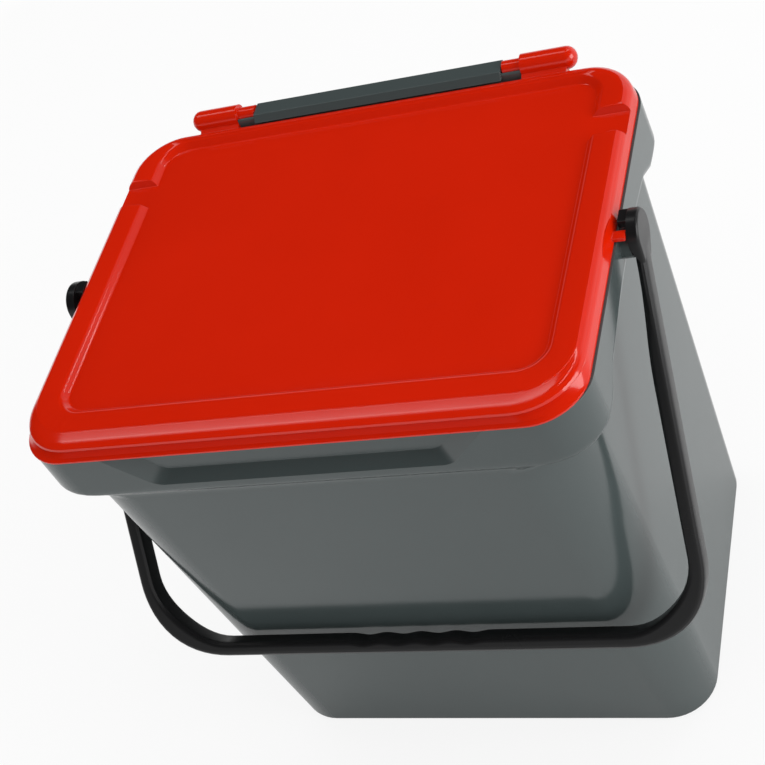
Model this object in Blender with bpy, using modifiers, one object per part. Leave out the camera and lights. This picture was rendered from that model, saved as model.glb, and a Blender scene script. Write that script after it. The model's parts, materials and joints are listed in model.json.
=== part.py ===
"""Lidded waste bin with a hinged lid and a swinging bail handle, in three mouldings.

The origin is on the base's underside, below the middle of the rim. +Z is up, the front faces -Y.
All sizes are in metres.
"""

import math

import bmesh
import bpy
from mathutils import Matrix, Vector

# Body
BODY_HEIGHT = 0.4002
COLLAR_HALF_WIDTH = 0.2016
COLLAR_HALF_DEPTH = 0.1524
COLLAR_CORNER_RADIUS = 0.0335
COLLAR_FACE_DROP = 0.0340
COLLAR_OGEE_DROP = 0.0170
SIDE_OVERHANG = 0.0185
FRONT_OVERHANG = 0.0026
BACK_OVERHANG = 0.0012
SIDE_DRAFT = 0.0061
FRONT_DRAFT = 0.0288
BACK_DRAFT = 0.0284
NECK_FRONT_RADIUS = 0.0500
NECK_BACK_RADIUS = 0.0268
BASE_FRONT_RADIUS = 0.0360
BASE_BACK_RADIUS = 0.0284
BASE_EDGE_RADIUS = 0.0045
BODY_WALL = 0.0030
FLOOR_THICKNESS = 0.0035
# Share of the way down from the collar's face to its foot, and share of the overhang left there.
COLLAR_CURVE_SHARES = (
    (0.00, 1.00), (0.14, 0.985), (0.25, 0.94), (0.33, 0.85), (0.38, 0.73), (0.42, 0.58),
    (0.48, 0.42), (0.56, 0.27), (0.67, 0.14), (0.82, 0.04), (1.00, 0.00),
)
EDGE_ARC_SHARES = (0.0, 0.35, 0.7, 1.0)

# Shallow arch in the collar's lower edge at each side, where the handle swings
ARCH_FRONT = -0.0980
ARCH_BACK = 0.0910
ARCH_STEP = 0.0250
ARCH_CROWN_DROP = 0.0180
ARCH_END_DROP = 0.0258

# Finger recess in the collar's front
RECESS_HALF_WIDTH = 0.1035
RECESS_DROP = 0.0300
RECESS_DEPTH = 0.0115
RECESS_TAPER = 0.0065
RECESS_CORNER_RADIUS = 0.0060
RECESS_SIDE_SLOPE_SHARE = 1.0

# Lid
SEAT_GAP = 0.0003
LID_SIDE_STEP = 0.0016
LID_LIP_OVERHANG = 0.0030
LID_FRONT_RADIUS = 0.0360
LID_BACK_RADIUS = 0.0375
LID_CORNER_SWELL = 0.0070
LID_CREST = 0.0132
PANEL_HEIGHT = 0.0080
SIDE_BORDER = 0.0285
FRONT_BORDER = 0.0409
BACK_BORDER = 0.0149
PANEL_CORNER_RADIUS = 0.0180
PLATEAU_RISE = 0.0011
PLATEAU_SIDE_BAND = 0.0165
PLATEAU_FRONT_BAND = 0.0135
PLATEAU_BACK_BAND = 0.0140
PLATEAU_CORNER_RADIUS = 0.0070
LID_WALL = 0.0025
# Shares of the crest's height, of the side, front and back borders' widths, and of the corner swell.
LID_BORDER_SHARES = (
    (0.000, 0.000, 0.000, 0.000, 0.0),
    (0.090, 0.000, 0.000, 0.000, 0.0),
    (0.190, 0.014, 0.059, 0.007, 0.4),
    (0.515, 0.049, 0.127, 0.034, 1.0),
    (0.630, 0.060, 0.078, 0.060, 0.9),
    (0.760, 0.095, 0.093, 0.080, 0.9),
    (0.870, 0.147, 0.156, 0.128, 0.8),
    (0.947, 0.218, 0.242, 0.262, 0.7),
    (1.000, 0.386, 0.425, 0.430, 0.4),
    (0.970, 0.667, 0.719, 0.597, 0.2),
    (0.910, 0.842, 0.890, 0.698, 0.1),
)
# Row of the border, then shares of the wall inwards at the side, front and back, and downwards.
LID_HOLLOW_SHARES = (
    (2, 1.00, 1.00, 1.00, 0.00),
    (3, 1.00, 1.00, 1.00, 0.12),
    (5, 1.20, 1.90, 1.20, 0.60),
    (7, 0.90, 1.00, 0.70, 1.00),
    (8, 0.30, 0.20, 0.10, 1.00),
    (10, -0.67, -0.67, -0.67, 0.72),
    (11, -0.45, -0.45, -0.45, 1.00),
)

# Notches in the lid's side borders
NOTCH_FRONT = 0.0810
NOTCH_LENGTH = 0.0240
NOTCH_RAMP = 0.0055

# Scoops in the lid's sides, at the handle
SCOOP_PLACE = -0.0150
SCOOP_HALF_LENGTH = 0.0275
SCOOP_DEPTH = 0.0034
SCOOP_HEIGHT = 0.0087
SCOOP_FOOT = 0.0008

# Side tabs on the lid
TAB_PLACE = -0.0078
TAB_LENGTH = 0.0074
TAB_FOOT = 0.0006
TAB_THICKNESS = 0.0030
TAB_REACH = 0.0076
TAB_ROOT = 0.0050

# Hinge
HINGE_SETBACK = 0.0086
HINGE_HEIGHT = 0.0148
KNUCKLE_RADIUS = 0.0082
KNUCKLE_START = 0.1145
KNUCKLE_LENGTH = 0.0405
KNUCKLE_NOSE = 0.0075
KNUCKLE_WEB = 0.0100
KNUCKLE_WEB_DEPTH = 0.0060
HINGE_PIN_RADIUS = 0.0056
PIN_END_GAP = 0.0009
SPIGOT_RADIUS = 0.0032
SPIGOT_LENGTH = 0.0100
BEAM_HALF_LENGTH = 0.0995
BEAM_DEPTH = 0.0096
BEAM_SHOULDER = 0.0048
BEAM_SHOULDER_RISE = 0.0018
BEAM_TOP_FRONT = 0.0012
BEAM_TOP_BACK = 0.0042
BEAM_TOP_RISE = 0.0056
BEAM_EDGE_RADIUS = 0.0012
LEDGE_DROP = 0.0010
LEDGE_ROOT = 0.0070
SHELF_DROP = 0.0016
SHELF_THICKNESS = 0.0030
BEAM_WALL = 0.0028
BEAM_RIBS = 6
BEAM_RIB_THICKNESS = 0.0025
GUSSET_DEPTH = 0.0200
GUSSETS = 5

# Handle
PIVOT_PLACE = 0.0008
PIVOT_DROP = 0.0118
BOSS_RADIUS = 0.0105
BOSS_LENGTH = 0.0060
PIVOT_PIN_RADIUS = 0.0060
PIVOT_PIN_LENGTH = 0.0053
ARM_CLEARANCE = 0.0029
ARM_SPREAD = 0.0052
ARM_WIDTH = 0.0111
HANDLE_THICKNESS = 0.0172
HANDLE_REACH = 0.2796
BAR_WIDTH = 0.0115
BAR_WALL_GAP = 0.0008
HANDLE_CORNER_RADIUS = 0.0570
HANDLE_EDGE_RADIUS = 0.0028
ARM_NECK_LENGTH = 0.0250
ARM_NECK_RAMP = 0.0350
GRIP_PITCH = 0.0275
GRIP_DEPTH = 0.0017
GRIP_WAVES = 2
HEAD_OFFSET = 0.0070
HEAD_RADIUS = 0.0155
HEAD_LENGTH = 0.0190
HEAD_PROUD = 0.0002
HEAD_EDGE_RADIUS = 0.0018
HOOK_SETBACK = 0.0045
HOOK_LENGTH = 0.0115
HOOK_FOOT = 0.0125
HOOK_HEIGHT = 0.0060
HOOK_REACH = 0.0064

# Shared
RUNNING_GAP = 0.0003
PIVOT_END_GAP = 0.0005
OVERRUN = 0.0100
CORNER_STEPS = 12
ROUND_STEPS = 32
NOSE_STEPS = 5
FILLET_STEPS = 5
SCOOP_STEPS = 14
WAVE_STEPS = 8
ARM_STEPS = 6
SIDE_STEPS = 24
HEAD_STEPS = 24
EDGE_STEPS = 3
BEND_STEPS = 14

# Places worked out from the sizes above
BODY_TOP = BODY_HEIGHT
NECK_HALF_WIDTH = COLLAR_HALF_WIDTH - SIDE_OVERHANG
NECK_FRONT = -COLLAR_HALF_DEPTH + FRONT_OVERHANG
NECK_BACK = COLLAR_HALF_DEPTH - BACK_OVERHANG
BASE_HALF_WIDTH = NECK_HALF_WIDTH - SIDE_DRAFT
BASE_FRONT = NECK_FRONT + FRONT_DRAFT
BASE_BACK = NECK_BACK - BACK_DRAFT
NECK_LEVEL = BODY_TOP - COLLAR_FACE_DROP - COLLAR_OGEE_DROP
LID_FOOT = BODY_TOP + SEAT_GAP
LID_HALF_WIDTH = COLLAR_HALF_WIDTH - LID_SIDE_STEP
LID_HALF_DEPTH = COLLAR_HALF_DEPTH + LID_LIP_OVERHANG
HINGE_Y = LID_HALF_DEPTH + HINGE_SETBACK
HINGE_Z = LID_FOOT + HINGE_HEIGHT
PIVOT_Z = LID_FOOT - PIVOT_DROP
HEAD_INNER = COLLAR_HALF_WIDTH + BOSS_LENGTH + PIVOT_END_GAP
HEAD_OUTER = COLLAR_HALF_WIDTH + ARM_CLEARANCE + ARM_WIDTH + HEAD_PROUD


def new_collection(name):
    collection = bpy.data.collections.new(name)
    bpy.context.scene.collection.children.link(collection)
    return collection


def helper_collection(name):
    collection = new_collection(name)
    collection.hide_render = True
    return collection


def plastic(name, colour, roughness):
    material = bpy.data.materials.new(name)
    material.use_nodes = True
    shader = material.node_tree.nodes["Principled BSDF"]
    shader.inputs["Base Color"].default_value = (*colour, 1.0)
    shader.inputs["Roughness"].default_value = roughness
    shader.inputs["Metallic"].default_value = 0.0
    return material


def as_helper(obj):
    obj.hide_render = True
    obj.display_type = "WIRE"
    return obj


def outline(half_width, front, back, front_radius, back_radius, level, side_steps=1):
    """A rounded rectangle of points at one level, anticlockwise from above."""
    corners = (
        (half_width - back_radius, back - back_radius, back_radius, 0),
        (-half_width + back_radius, back - back_radius, back_radius, 1),
        (-half_width + front_radius, front + front_radius, front_radius, 2),
        (half_width - front_radius, front + front_radius, front_radius, 3),
    )
    points = []
    for x, y, radius, quarter in corners:
        for step in range(CORNER_STEPS + 1):
            angle = (quarter + step / CORNER_STEPS) * math.pi / 2
            points.append(Vector((x + radius * math.cos(angle), y + radius * math.sin(angle), level)))
        if quarter in (1, 3):
            side = half_width if quarter == 3 else -half_width
            start = points[-1].y
            end = front + front_radius if quarter == 1 else back - back_radius
            for step in range(1, side_steps):
                points.append(Vector((side, start + (end - start) * step / side_steps, level)))
    return points


def filleted(corners, radii, steps):
    """The corners of a flat polygon, each rounded to its radius where that isn't zero."""
    points = []
    count = len(corners)
    for index, (corner, radius) in enumerate(zip(corners, radii)):
        here = Vector(corner)
        if radius <= 0:
            points.append(here)
            continue
        before = (Vector(corners[index - 1]) - here).normalized()
        after = (Vector(corners[(index + 1) % count]) - here).normalized()
        half = before.angle(after) / 2
        reach = radius / math.tan(half)
        centre = here + (before + after).normalized() * radius / math.sin(half)
        first = here + before * reach - centre
        last = here + after * reach - centre
        turn = first.angle(last)
        for step in range(steps + 1):
            share = step / steps
            swung = first * math.sin((1 - share) * turn) + last * math.sin(share * turn)
            points.append(centre + swung / math.sin(turn))
    return points


def loft(name, rings, collection):
    """One closed body through rings of the same number of points, capped flat at both ends."""
    mesh = bpy.data.meshes.new(name)
    body = bmesh.new()
    rows = [[body.verts.new(point) for point in ring] for ring in rings]
    count = len(rows[0])
    for low, high in zip(rows, rows[1:]):
        for index in range(count):
            after = (index + 1) % count
            body.faces.new((low[index], low[after], high[after], high[index]))
    body.faces.new(reversed(rows[0]))
    body.faces.new(rows[-1])
    bmesh.ops.recalc_face_normals(body, faces=body.faces)
    body.to_mesh(mesh)
    body.free()
    obj = bpy.data.objects.new(name, mesh)
    collection.objects.link(obj)
    return obj


def prism(name, points, start, end, collection):
    """A flat polygon in Y and Z, drawn out along X."""
    rings = [[Vector((x, y, z)) for y, z in points] for x in (start, end)]
    return as_helper(loft(name, rings, collection))


def block(name, low, high, collection, edge=0.0):
    mesh = bpy.data.meshes.new(name)
    body = bmesh.new()
    bmesh.ops.create_cube(body, size=1)
    for vert in body.verts:
        vert.co = Vector(b if side > 0 else a for a, b, side in zip(low, high, vert.co))
    bmesh.ops.recalc_face_normals(body, faces=body.faces)
    body.to_mesh(mesh)
    body.free()
    obj = bpy.data.objects.new(name, mesh)
    collection.objects.link(obj)
    if edge > 0:
        bevel = obj.modifiers.new("Edges", "BEVEL")
        bevel.width = edge
        bevel.segments = 2
    return as_helper(obj)


def turned(name, profile, side, place, collection):
    """A profile of (distance along the axis, radius) turned about an axis along X, towards this side."""
    mesh = bpy.data.meshes.new(name)
    body = bmesh.new()
    verts = [body.verts.new((radius, 0, along)) for along, radius in reversed(profile)]
    for a, b in zip(verts, verts[1:]):
        body.edges.new((a, b))
    body.to_mesh(mesh)
    body.free()
    obj = bpy.data.objects.new(name, mesh)
    collection.objects.link(obj)
    obj.location = (0, place[0], place[1])
    obj.rotation_euler = (0, side * math.pi / 2, 0)
    screw = obj.modifiers.new("Turned", "SCREW")
    screw.steps = ROUND_STEPS
    screw.render_steps = ROUND_STEPS
    screw.use_merge_vertices = True
    screw.merge_threshold = 0.00001
    return as_helper(obj)


def rod(name, start, end, radius, side, place, collection):
    return turned(name, ((start, 0), (start, radius), (end, radius), (end, 0)), side, place, collection)


def combine(obj, name, operation, operand):
    modifier = obj.modifiers.new(name, "BOOLEAN")
    modifier.operation = operation
    modifier.solver = "EXACT"
    if isinstance(operand, bpy.types.Collection):
        modifier.operand_type = "COLLECTION"
        modifier.collection = operand
    else:
        modifier.object = operand


def finish(obj, material):
    obj.data.materials.append(material)
    obj.data.shade_smooth()
    return obj


def wall_share(level):
    """How far down the tapered wall a level lies, from the neck at 0 to the base at 1."""
    return (NECK_LEVEL - level) / NECK_LEVEL


def wall_outline(level, inset, radius_inset):
    share = wall_share(level)
    return outline(
        NECK_HALF_WIDTH - share * SIDE_DRAFT - inset,
        NECK_FRONT + share * FRONT_DRAFT + inset,
        NECK_BACK - share * BACK_DRAFT - inset,
        NECK_FRONT_RADIUS + share * (BASE_FRONT_RADIUS - NECK_FRONT_RADIUS) - radius_inset,
        NECK_BACK_RADIUS + share * (BASE_BACK_RADIUS - NECK_BACK_RADIUS) - radius_inset,
        level,
        SIDE_STEPS,
    )


def arch_lift(y):
    """How much higher the collar's lower edge lies at this place along the side than at the corners."""
    inside = 1
    for distance in (y - ARCH_FRONT, ARCH_BACK - y):
        share = min(max(distance / ARCH_STEP + 1 / 2, 0), 1)
        inside = min(inside, share * share * (3 - 2 * share))
    middle = (ARCH_FRONT + ARCH_BACK) / 2
    across = (y - middle) / (ARCH_BACK - middle)
    crown = ARCH_CROWN_DROP + (ARCH_END_DROP - ARCH_CROWN_DROP) * across * across
    return inside * (COLLAR_FACE_DROP - crown)


def collar_outline(overhang_share, level, inset, arched):
    rest = 1 - overhang_share
    points = outline(
        NECK_HALF_WIDTH + overhang_share * SIDE_OVERHANG - inset,
        NECK_FRONT - overhang_share * FRONT_OVERHANG + inset,
        NECK_BACK + overhang_share * BACK_OVERHANG - inset,
        overhang_share * COLLAR_CORNER_RADIUS + rest * NECK_FRONT_RADIUS - inset,
        overhang_share * COLLAR_CORNER_RADIUS + rest * NECK_BACK_RADIUS - inset,
        level,
        SIDE_STEPS,
    )
    for point in points:
        point.z += arch_lift(point.y) if arched else 0
    return points


def shell_rings(bottom, inset, lift, top):
    """The body's form, set in by the inset: rounded base edge, tapered wall, ogee and collar."""
    rings = []
    for share in EDGE_ARC_SHARES:
        angle = share * math.pi / 2
        back_off = BASE_EDGE_RADIUS * (1 - math.sin(angle))
        level = bottom + BASE_EDGE_RADIUS * (1 - math.cos(angle))
        rings.append(wall_outline(level, inset + back_off, inset + back_off))
    for drop_share, overhang_share in reversed(COLLAR_CURVE_SHARES):
        drop = COLLAR_FACE_DROP + drop_share * COLLAR_OGEE_DROP
        rings.append(collar_outline(overhang_share, BODY_TOP - drop + lift, inset, True))
    rings.append(collar_outline(1, top, inset, False))
    return rings


def recess_loft(name, grown, front, back, collection):
    """The recess's form, as wide as its front outline and tapering to the back, grown by a wall."""
    rings = []
    for y, taper in ((front, 0), (back, RECESS_TAPER)):
        foot = BODY_TOP - RECESS_DROP + taper - grown
        head = BODY_TOP + OVERRUN
        half = RECESS_HALF_WIDTH - taper + grown
        lean = RECESS_SIDE_SLOPE_SHARE * (head - foot)
        corners = ((-half, foot), (half, foot), (half + lean, head), (-half - lean, head))
        radii = (RECESS_CORNER_RADIUS + grown, RECESS_CORNER_RADIUS + grown, 0, 0)
        rings.append([Vector((x, y, z)) for x, z in filleted(corners, radii, FILLET_STEPS)])
    return as_helper(loft(name, rings, collection))


def ledge_outline():
    """The hinge's shelf and ledge: from inside the collar's wall out under the pins."""
    root = COLLAR_HALF_DEPTH - BODY_WALL / 2
    shelf = BODY_TOP - SHELF_DROP
    ledge_front = LID_HALF_DEPTH + RUNNING_GAP + RUNNING_GAP
    ledge_top = HINGE_Z - LEDGE_DROP
    back = HINGE_Y + BEAM_DEPTH
    foot = shelf - SHELF_THICKNESS
    corners = (
        (root, foot), (back, foot), (back, ledge_top),
        (ledge_front, ledge_top), (ledge_front, shelf), (root, shelf),
    )
    radii = (0, BEAM_EDGE_RADIUS, BEAM_EDGE_RADIUS, BEAM_EDGE_RADIUS, 0, 0)
    return filleted(corners, radii, FILLET_STEPS)


def beam_outline():
    """The hinge beam's upper part, round-shouldered at the front and flat at the back."""
    root = HINGE_Z - LEDGE_DROP - BEAM_WALL
    back = HINGE_Y + BEAM_DEPTH - RUNNING_GAP
    corners = (
        (HINGE_Y - BEAM_SHOULDER, root),
        (back, root),
        (back, HINGE_Z + BEAM_SHOULDER_RISE),
        (HINGE_Y + BEAM_TOP_BACK, HINGE_Z + BEAM_TOP_RISE),
        (HINGE_Y - BEAM_TOP_FRONT, HINGE_Z + BEAM_TOP_RISE),
        (HINGE_Y - BEAM_SHOULDER, HINGE_Z + BEAM_SHOULDER_RISE),
    )
    radii = (0, 0, BEAM_EDGE_RADIUS, BEAM_EDGE_RADIUS, BEAM_EDGE_RADIUS, BEAM_EDGE_RADIUS)
    return filleted(corners, radii, FILLET_STEPS)


def make_hinge_beam(additions, cuts):
    ledge_half = KNUCKLE_START - RUNNING_GAP
    prism("hinge_ledge", ledge_outline(), -ledge_half, ledge_half, additions)
    prism("hinge_beam", beam_outline(), -BEAM_HALF_LENGTH, BEAM_HALF_LENGTH, additions)
    shelf_foot = BODY_TOP - SHELF_DROP - SHELF_THICKNESS
    root = COLLAR_HALF_DEPTH - BODY_WALL / 2
    back = HINGE_Y + BEAM_DEPTH
    for index in range(GUSSETS):
        middle = ledge_half * (2 * index / (GUSSETS - 1) - 1)
        start = max(-ledge_half, min(middle - BEAM_RIB_THICKNESS / 2, ledge_half - BEAM_RIB_THICKNESS))
        corners = (
            (root, shelf_foot - GUSSET_DEPTH),
            (back - BEAM_WALL, shelf_foot + SHELF_THICKNESS / 2),
            (root, shelf_foot + SHELF_THICKNESS / 2),
        )
        prism(f"gusset_{index}", corners, start, start + BEAM_RIB_THICKNESS, additions)
    pocket_low = LID_HALF_DEPTH + RUNNING_GAP + RUNNING_GAP + BEAM_WALL
    pocket_top = HINGE_Z - HINGE_PIN_RADIUS - RUNNING_GAP - BEAM_WALL
    pitch = (2 * ledge_half - BEAM_RIB_THICKNESS) / BEAM_RIBS
    for index in range(BEAM_RIBS):
        start = -ledge_half + BEAM_RIB_THICKNESS + index * pitch
        low = (start, pocket_low, shelf_foot - OVERRUN)
        high = (start + pitch - BEAM_RIB_THICKNESS, back - BEAM_WALL, pocket_top)
        block(f"beam_pocket_{index}", low, high, cuts)
    spigot_bore = SPIGOT_RADIUS + RUNNING_GAP
    pin_bore = HINGE_PIN_RADIUS + RUNNING_GAP
    bore_start = BEAM_HALF_LENGTH - SPIGOT_LENGTH - PIVOT_END_GAP
    end = KNUCKLE_START + OVERRUN
    profile = (
        (bore_start, 0), (bore_start, spigot_bore), (BEAM_HALF_LENGTH, spigot_bore),
        (BEAM_HALF_LENGTH, pin_bore), (end, pin_bore), (end, 0),
    )
    for side in (-1, 1):
        turned(f"pin_bore_{side}", profile, side, (HINGE_Y, HINGE_Z), cuts)


def make_pivot_bosses(additions):
    root = COLLAR_HALF_WIDTH - BODY_WALL / 2
    shoulder = COLLAR_HALF_WIDTH + BOSS_LENGTH
    end = HEAD_INNER + PIVOT_PIN_LENGTH - PIVOT_END_GAP
    profile = (
        (root, 0), (root, BOSS_RADIUS), (shoulder, BOSS_RADIUS),
        (shoulder, PIVOT_PIN_RADIUS), (end, PIVOT_PIN_RADIUS), (end, 0),
    )
    for side in (-1, 1):
        turned(f"pivot_boss_{side}", profile, side, (PIVOT_PLACE, PIVOT_Z), additions)


def make_body(parts, helpers, material):
    body = loft("bin_body", shell_rings(0, 0, 0, BODY_TOP), parts)
    inside = shell_rings(FLOOR_THICKNESS, BODY_WALL, BODY_WALL, BODY_TOP + OVERRUN)
    hollow = as_helper(loft("body_hollow", inside, helpers))
    front = -COLLAR_HALF_DEPTH
    back = front + RECESS_DEPTH
    backing = recess_loft("recess_backing", BODY_WALL, front, back + BODY_WALL, helpers)
    combine(hollow, "Recess backing", "DIFFERENCE", backing)
    additions = helper_collection("body_additions")
    cuts = helper_collection("body_cuts")
    make_hinge_beam(additions, cuts)
    make_pivot_bosses(additions)
    recess_loft("finger_recess", 0, front - OVERRUN, back, cuts)
    combine(body, "Hollow", "DIFFERENCE", hollow)
    combine(body, "Hinge and bosses", "UNION", additions)
    combine(body, "Recess, pockets and bores", "DIFFERENCE", cuts)
    return finish(body, material)


def lid_outline(row, side_shift, front_shift, back_shift, level_shift):
    """One row of the lid's border. Row 11 is the panel's edge."""
    if row < len(LID_BORDER_SHARES):
        height_share, side_share, front_share, back_share, swell_share = LID_BORDER_SHARES[row]
        level = height_share * LID_CREST
        swell = swell_share * LID_CORNER_SWELL
    else:
        side_share = front_share = back_share = 1
        level = PANEL_HEIGHT
        swell = 0
    side_in = side_share * SIDE_BORDER + side_shift
    front_in = front_share * FRONT_BORDER + front_shift
    back_in = back_share * BACK_BORDER + back_shift
    inner = max(side_shift, 0)
    return outline(
        LID_HALF_WIDTH - side_in,
        -LID_HALF_DEPTH + front_in,
        LID_HALF_DEPTH - back_in,
        LID_FRONT_RADIUS - side_share * (LID_FRONT_RADIUS - PANEL_CORNER_RADIUS) + swell - inner,
        LID_BACK_RADIUS - side_share * (LID_BACK_RADIUS - PANEL_CORNER_RADIUS) - inner,
        LID_FOOT + level + level_shift,
    )


def lid_rings():
    rings = [lid_outline(row, 0, 0, 0, 0) for row in range(len(LID_BORDER_SHARES) + 1)]
    rings.append(outline(
        LID_HALF_WIDTH - SIDE_BORDER - PLATEAU_SIDE_BAND,
        -LID_HALF_DEPTH + FRONT_BORDER + PLATEAU_FRONT_BAND,
        LID_HALF_DEPTH - BACK_BORDER - PLATEAU_BACK_BAND,
        PLATEAU_CORNER_RADIUS,
        PLATEAU_CORNER_RADIUS,
        LID_FOOT + PANEL_HEIGHT + PLATEAU_RISE,
    ))
    return rings


def lid_hollow_rings():
    rings = [lid_outline(0, LID_WALL, LID_WALL, LID_WALL, -OVERRUN)]
    rings.append(lid_outline(0, LID_WALL, LID_WALL, LID_WALL, 0))
    for row, side_share, front_share, back_share, down_share in LID_HOLLOW_SHARES:
        shifts = [share * LID_WALL for share in (side_share, front_share, back_share, -down_share)]
        rings.append(lid_outline(row, *shifts))
    return rings


def notch_outline(grown):
    """The notch seen from the side, with its ramp at the back, grown by a wall."""
    foot = LID_FOOT + PANEL_HEIGHT - grown
    head = LID_FOOT + LID_CREST + OVERRUN
    start = NOTCH_FRONT - grown
    end = NOTCH_FRONT + NOTCH_LENGTH + grown
    slope = NOTCH_RAMP * (head - foot) / (LID_CREST - PANEL_HEIGHT + grown)
    return ((start, foot), (end, foot), (end + slope, head), (start, head))


def scoop_loft(name, grown, side, collection):
    """A hollow in the lid's side that deepens from its foot upwards, grown by a wall."""
    radius = (SCOOP_HALF_LENGTH ** 2 + SCOOP_DEPTH ** 2) / (2 * SCOOP_DEPTH)
    span = math.asin((SCOOP_HALF_LENGTH + 2 * grown + 2 * SCOOP_DEPTH) / radius)
    arc = []
    for step in range(SCOOP_STEPS + 1):
        angle = span * (2 * step / SCOOP_STEPS - 1)
        out = radius - (radius + grown) * math.cos(angle)
        arc.append((out, SCOOP_PLACE + (radius + grown) * math.sin(angle)))
    far = LID_HALF_WIDTH + OVERRUN
    foot = LID_FOOT - OVERRUN if grown else LID_FOOT + SCOOP_FOOT
    head = LID_FOOT + LID_CREST + OVERRUN
    levels = ((foot, 0), (LID_FOOT + SCOOP_HEIGHT, SCOOP_DEPTH), (head, SCOOP_DEPTH))
    rings = []
    for level, depth in levels:
        ring = [Vector((side * (LID_HALF_WIDTH - depth + x), y, level)) for x, y in arc]
        ring.append(Vector((side * far, arc[-1][1], level)))
        ring.append(Vector((side * far, arc[0][1], level)))
        rings.append(ring)
    return as_helper(loft(name, rings, collection))


def make_knuckles(additions):
    """Round-nosed barrels on the lid's back edge, with the pins that turn in the body's beam."""
    nose = []
    start = KNUCKLE_START + KNUCKLE_LENGTH - KNUCKLE_NOSE
    for step in range(NOSE_STEPS + 1):
        angle = step / NOSE_STEPS * math.pi / 2
        nose.append((start + KNUCKLE_NOSE * math.sin(angle), KNUCKLE_RADIUS * math.cos(angle)))
    nose[-1] = (start + KNUCKLE_NOSE, 0)
    pin_end = BEAM_HALF_LENGTH + PIN_END_GAP
    spigot_end = BEAM_HALF_LENGTH - SPIGOT_LENGTH
    profile = [
        (spigot_end, 0), (spigot_end, SPIGOT_RADIUS), (pin_end, SPIGOT_RADIUS),
        (pin_end, HINGE_PIN_RADIUS), (KNUCKLE_START, HINGE_PIN_RADIUS),
        (KNUCKLE_START, KNUCKLE_RADIUS), *nose,
    ]
    web_low = LID_HALF_DEPTH - KNUCKLE_WEB_DEPTH
    middle = LID_FOOT + (LID_CREST + PANEL_HEIGHT) / 2 - LID_WALL
    for side in (-1, 1):
        turned(f"knuckle_{side}", profile, side, (HINGE_Y, HINGE_Z), additions)
        ends = sorted((side * KNUCKLE_START, side * (start - KNUCKLE_RADIUS / 2)))
        low = (ends[0], web_low, middle - LID_WALL)
        high = (ends[1], HINGE_Y - KNUCKLE_RADIUS / 2, middle + KNUCKLE_WEB - LID_WALL)
        corners = ((low[1], low[2]), (high[1], low[2]), (high[1], high[2]), (low[1], middle + LID_WALL))
        prism(f"knuckle_web_{side}", corners, low[0], high[0], additions)


def make_tabs(additions):
    for side in (-1, 1):
        reach = sorted((side * (LID_HALF_WIDTH - TAB_ROOT), side * (LID_HALF_WIDTH + TAB_REACH)))
        low = (reach[0], TAB_PLACE - TAB_LENGTH / 2, LID_FOOT + TAB_FOOT)
        high = (reach[1], TAB_PLACE + TAB_LENGTH / 2, LID_FOOT + TAB_FOOT + TAB_THICKNESS)
        block(f"tab_{side}", low, high, additions)


def make_lid(parts, helpers, material):
    lid = loft("lid", lid_rings(), parts)
    hollow = as_helper(loft("lid_hollow", lid_hollow_rings(), helpers))
    backings = helper_collection("lid_backings")
    cuts = helper_collection("lid_cuts")
    additions = helper_collection("lid_additions")
    panel_edge = LID_HALF_WIDTH - SIDE_BORDER
    far = LID_HALF_WIDTH + OVERRUN
    for side in (-1, 1):
        inner = sorted((side * (panel_edge - LID_WALL), side * far))
        prism(f"notch_backing_{side}", notch_outline(LID_WALL), *inner, backings)
        outer = sorted((side * panel_edge, side * far))
        prism(f"notch_{side}", notch_outline(0), *outer, cuts)
        scoop_loft(f"scoop_backing_{side}", LID_WALL, side, backings)
        scoop_loft(f"scoop_{side}", 0, side, cuts)
    combine(hollow, "Backings", "DIFFERENCE", backings)
    make_knuckles(additions)
    make_tabs(additions)
    combine(lid, "Notches and scoops", "DIFFERENCE", cuts)
    combine(lid, "Hollow", "DIFFERENCE", hollow)
    combine(lid, "Hinge and tabs", "UNION", additions)
    lid.data.transform(Matrix.Translation((0, -HINGE_Y, -HINGE_Z)))
    lid.location = (0, HINGE_Y, HINGE_Z)
    return finish(lid, material)


def handle_lean():
    """The angle at which the bar comes to rest just clear of the tapered front wall."""
    draft = math.atan2(FRONT_DRAFT, NECK_LEVEL)
    normal_y = -math.cos(draft)
    normal_z = -math.sin(draft)
    behind = normal_y * (PIVOT_PLACE - NECK_FRONT) + normal_z * (PIVOT_Z - NECK_LEVEL)
    along = HANDLE_REACH - BAR_WIDTH
    across = HANDLE_THICKNESS / 2
    return math.asin((BAR_WALL_GAP - behind) / math.hypot(along, across)) + math.atan2(across, along) - draft


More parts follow.
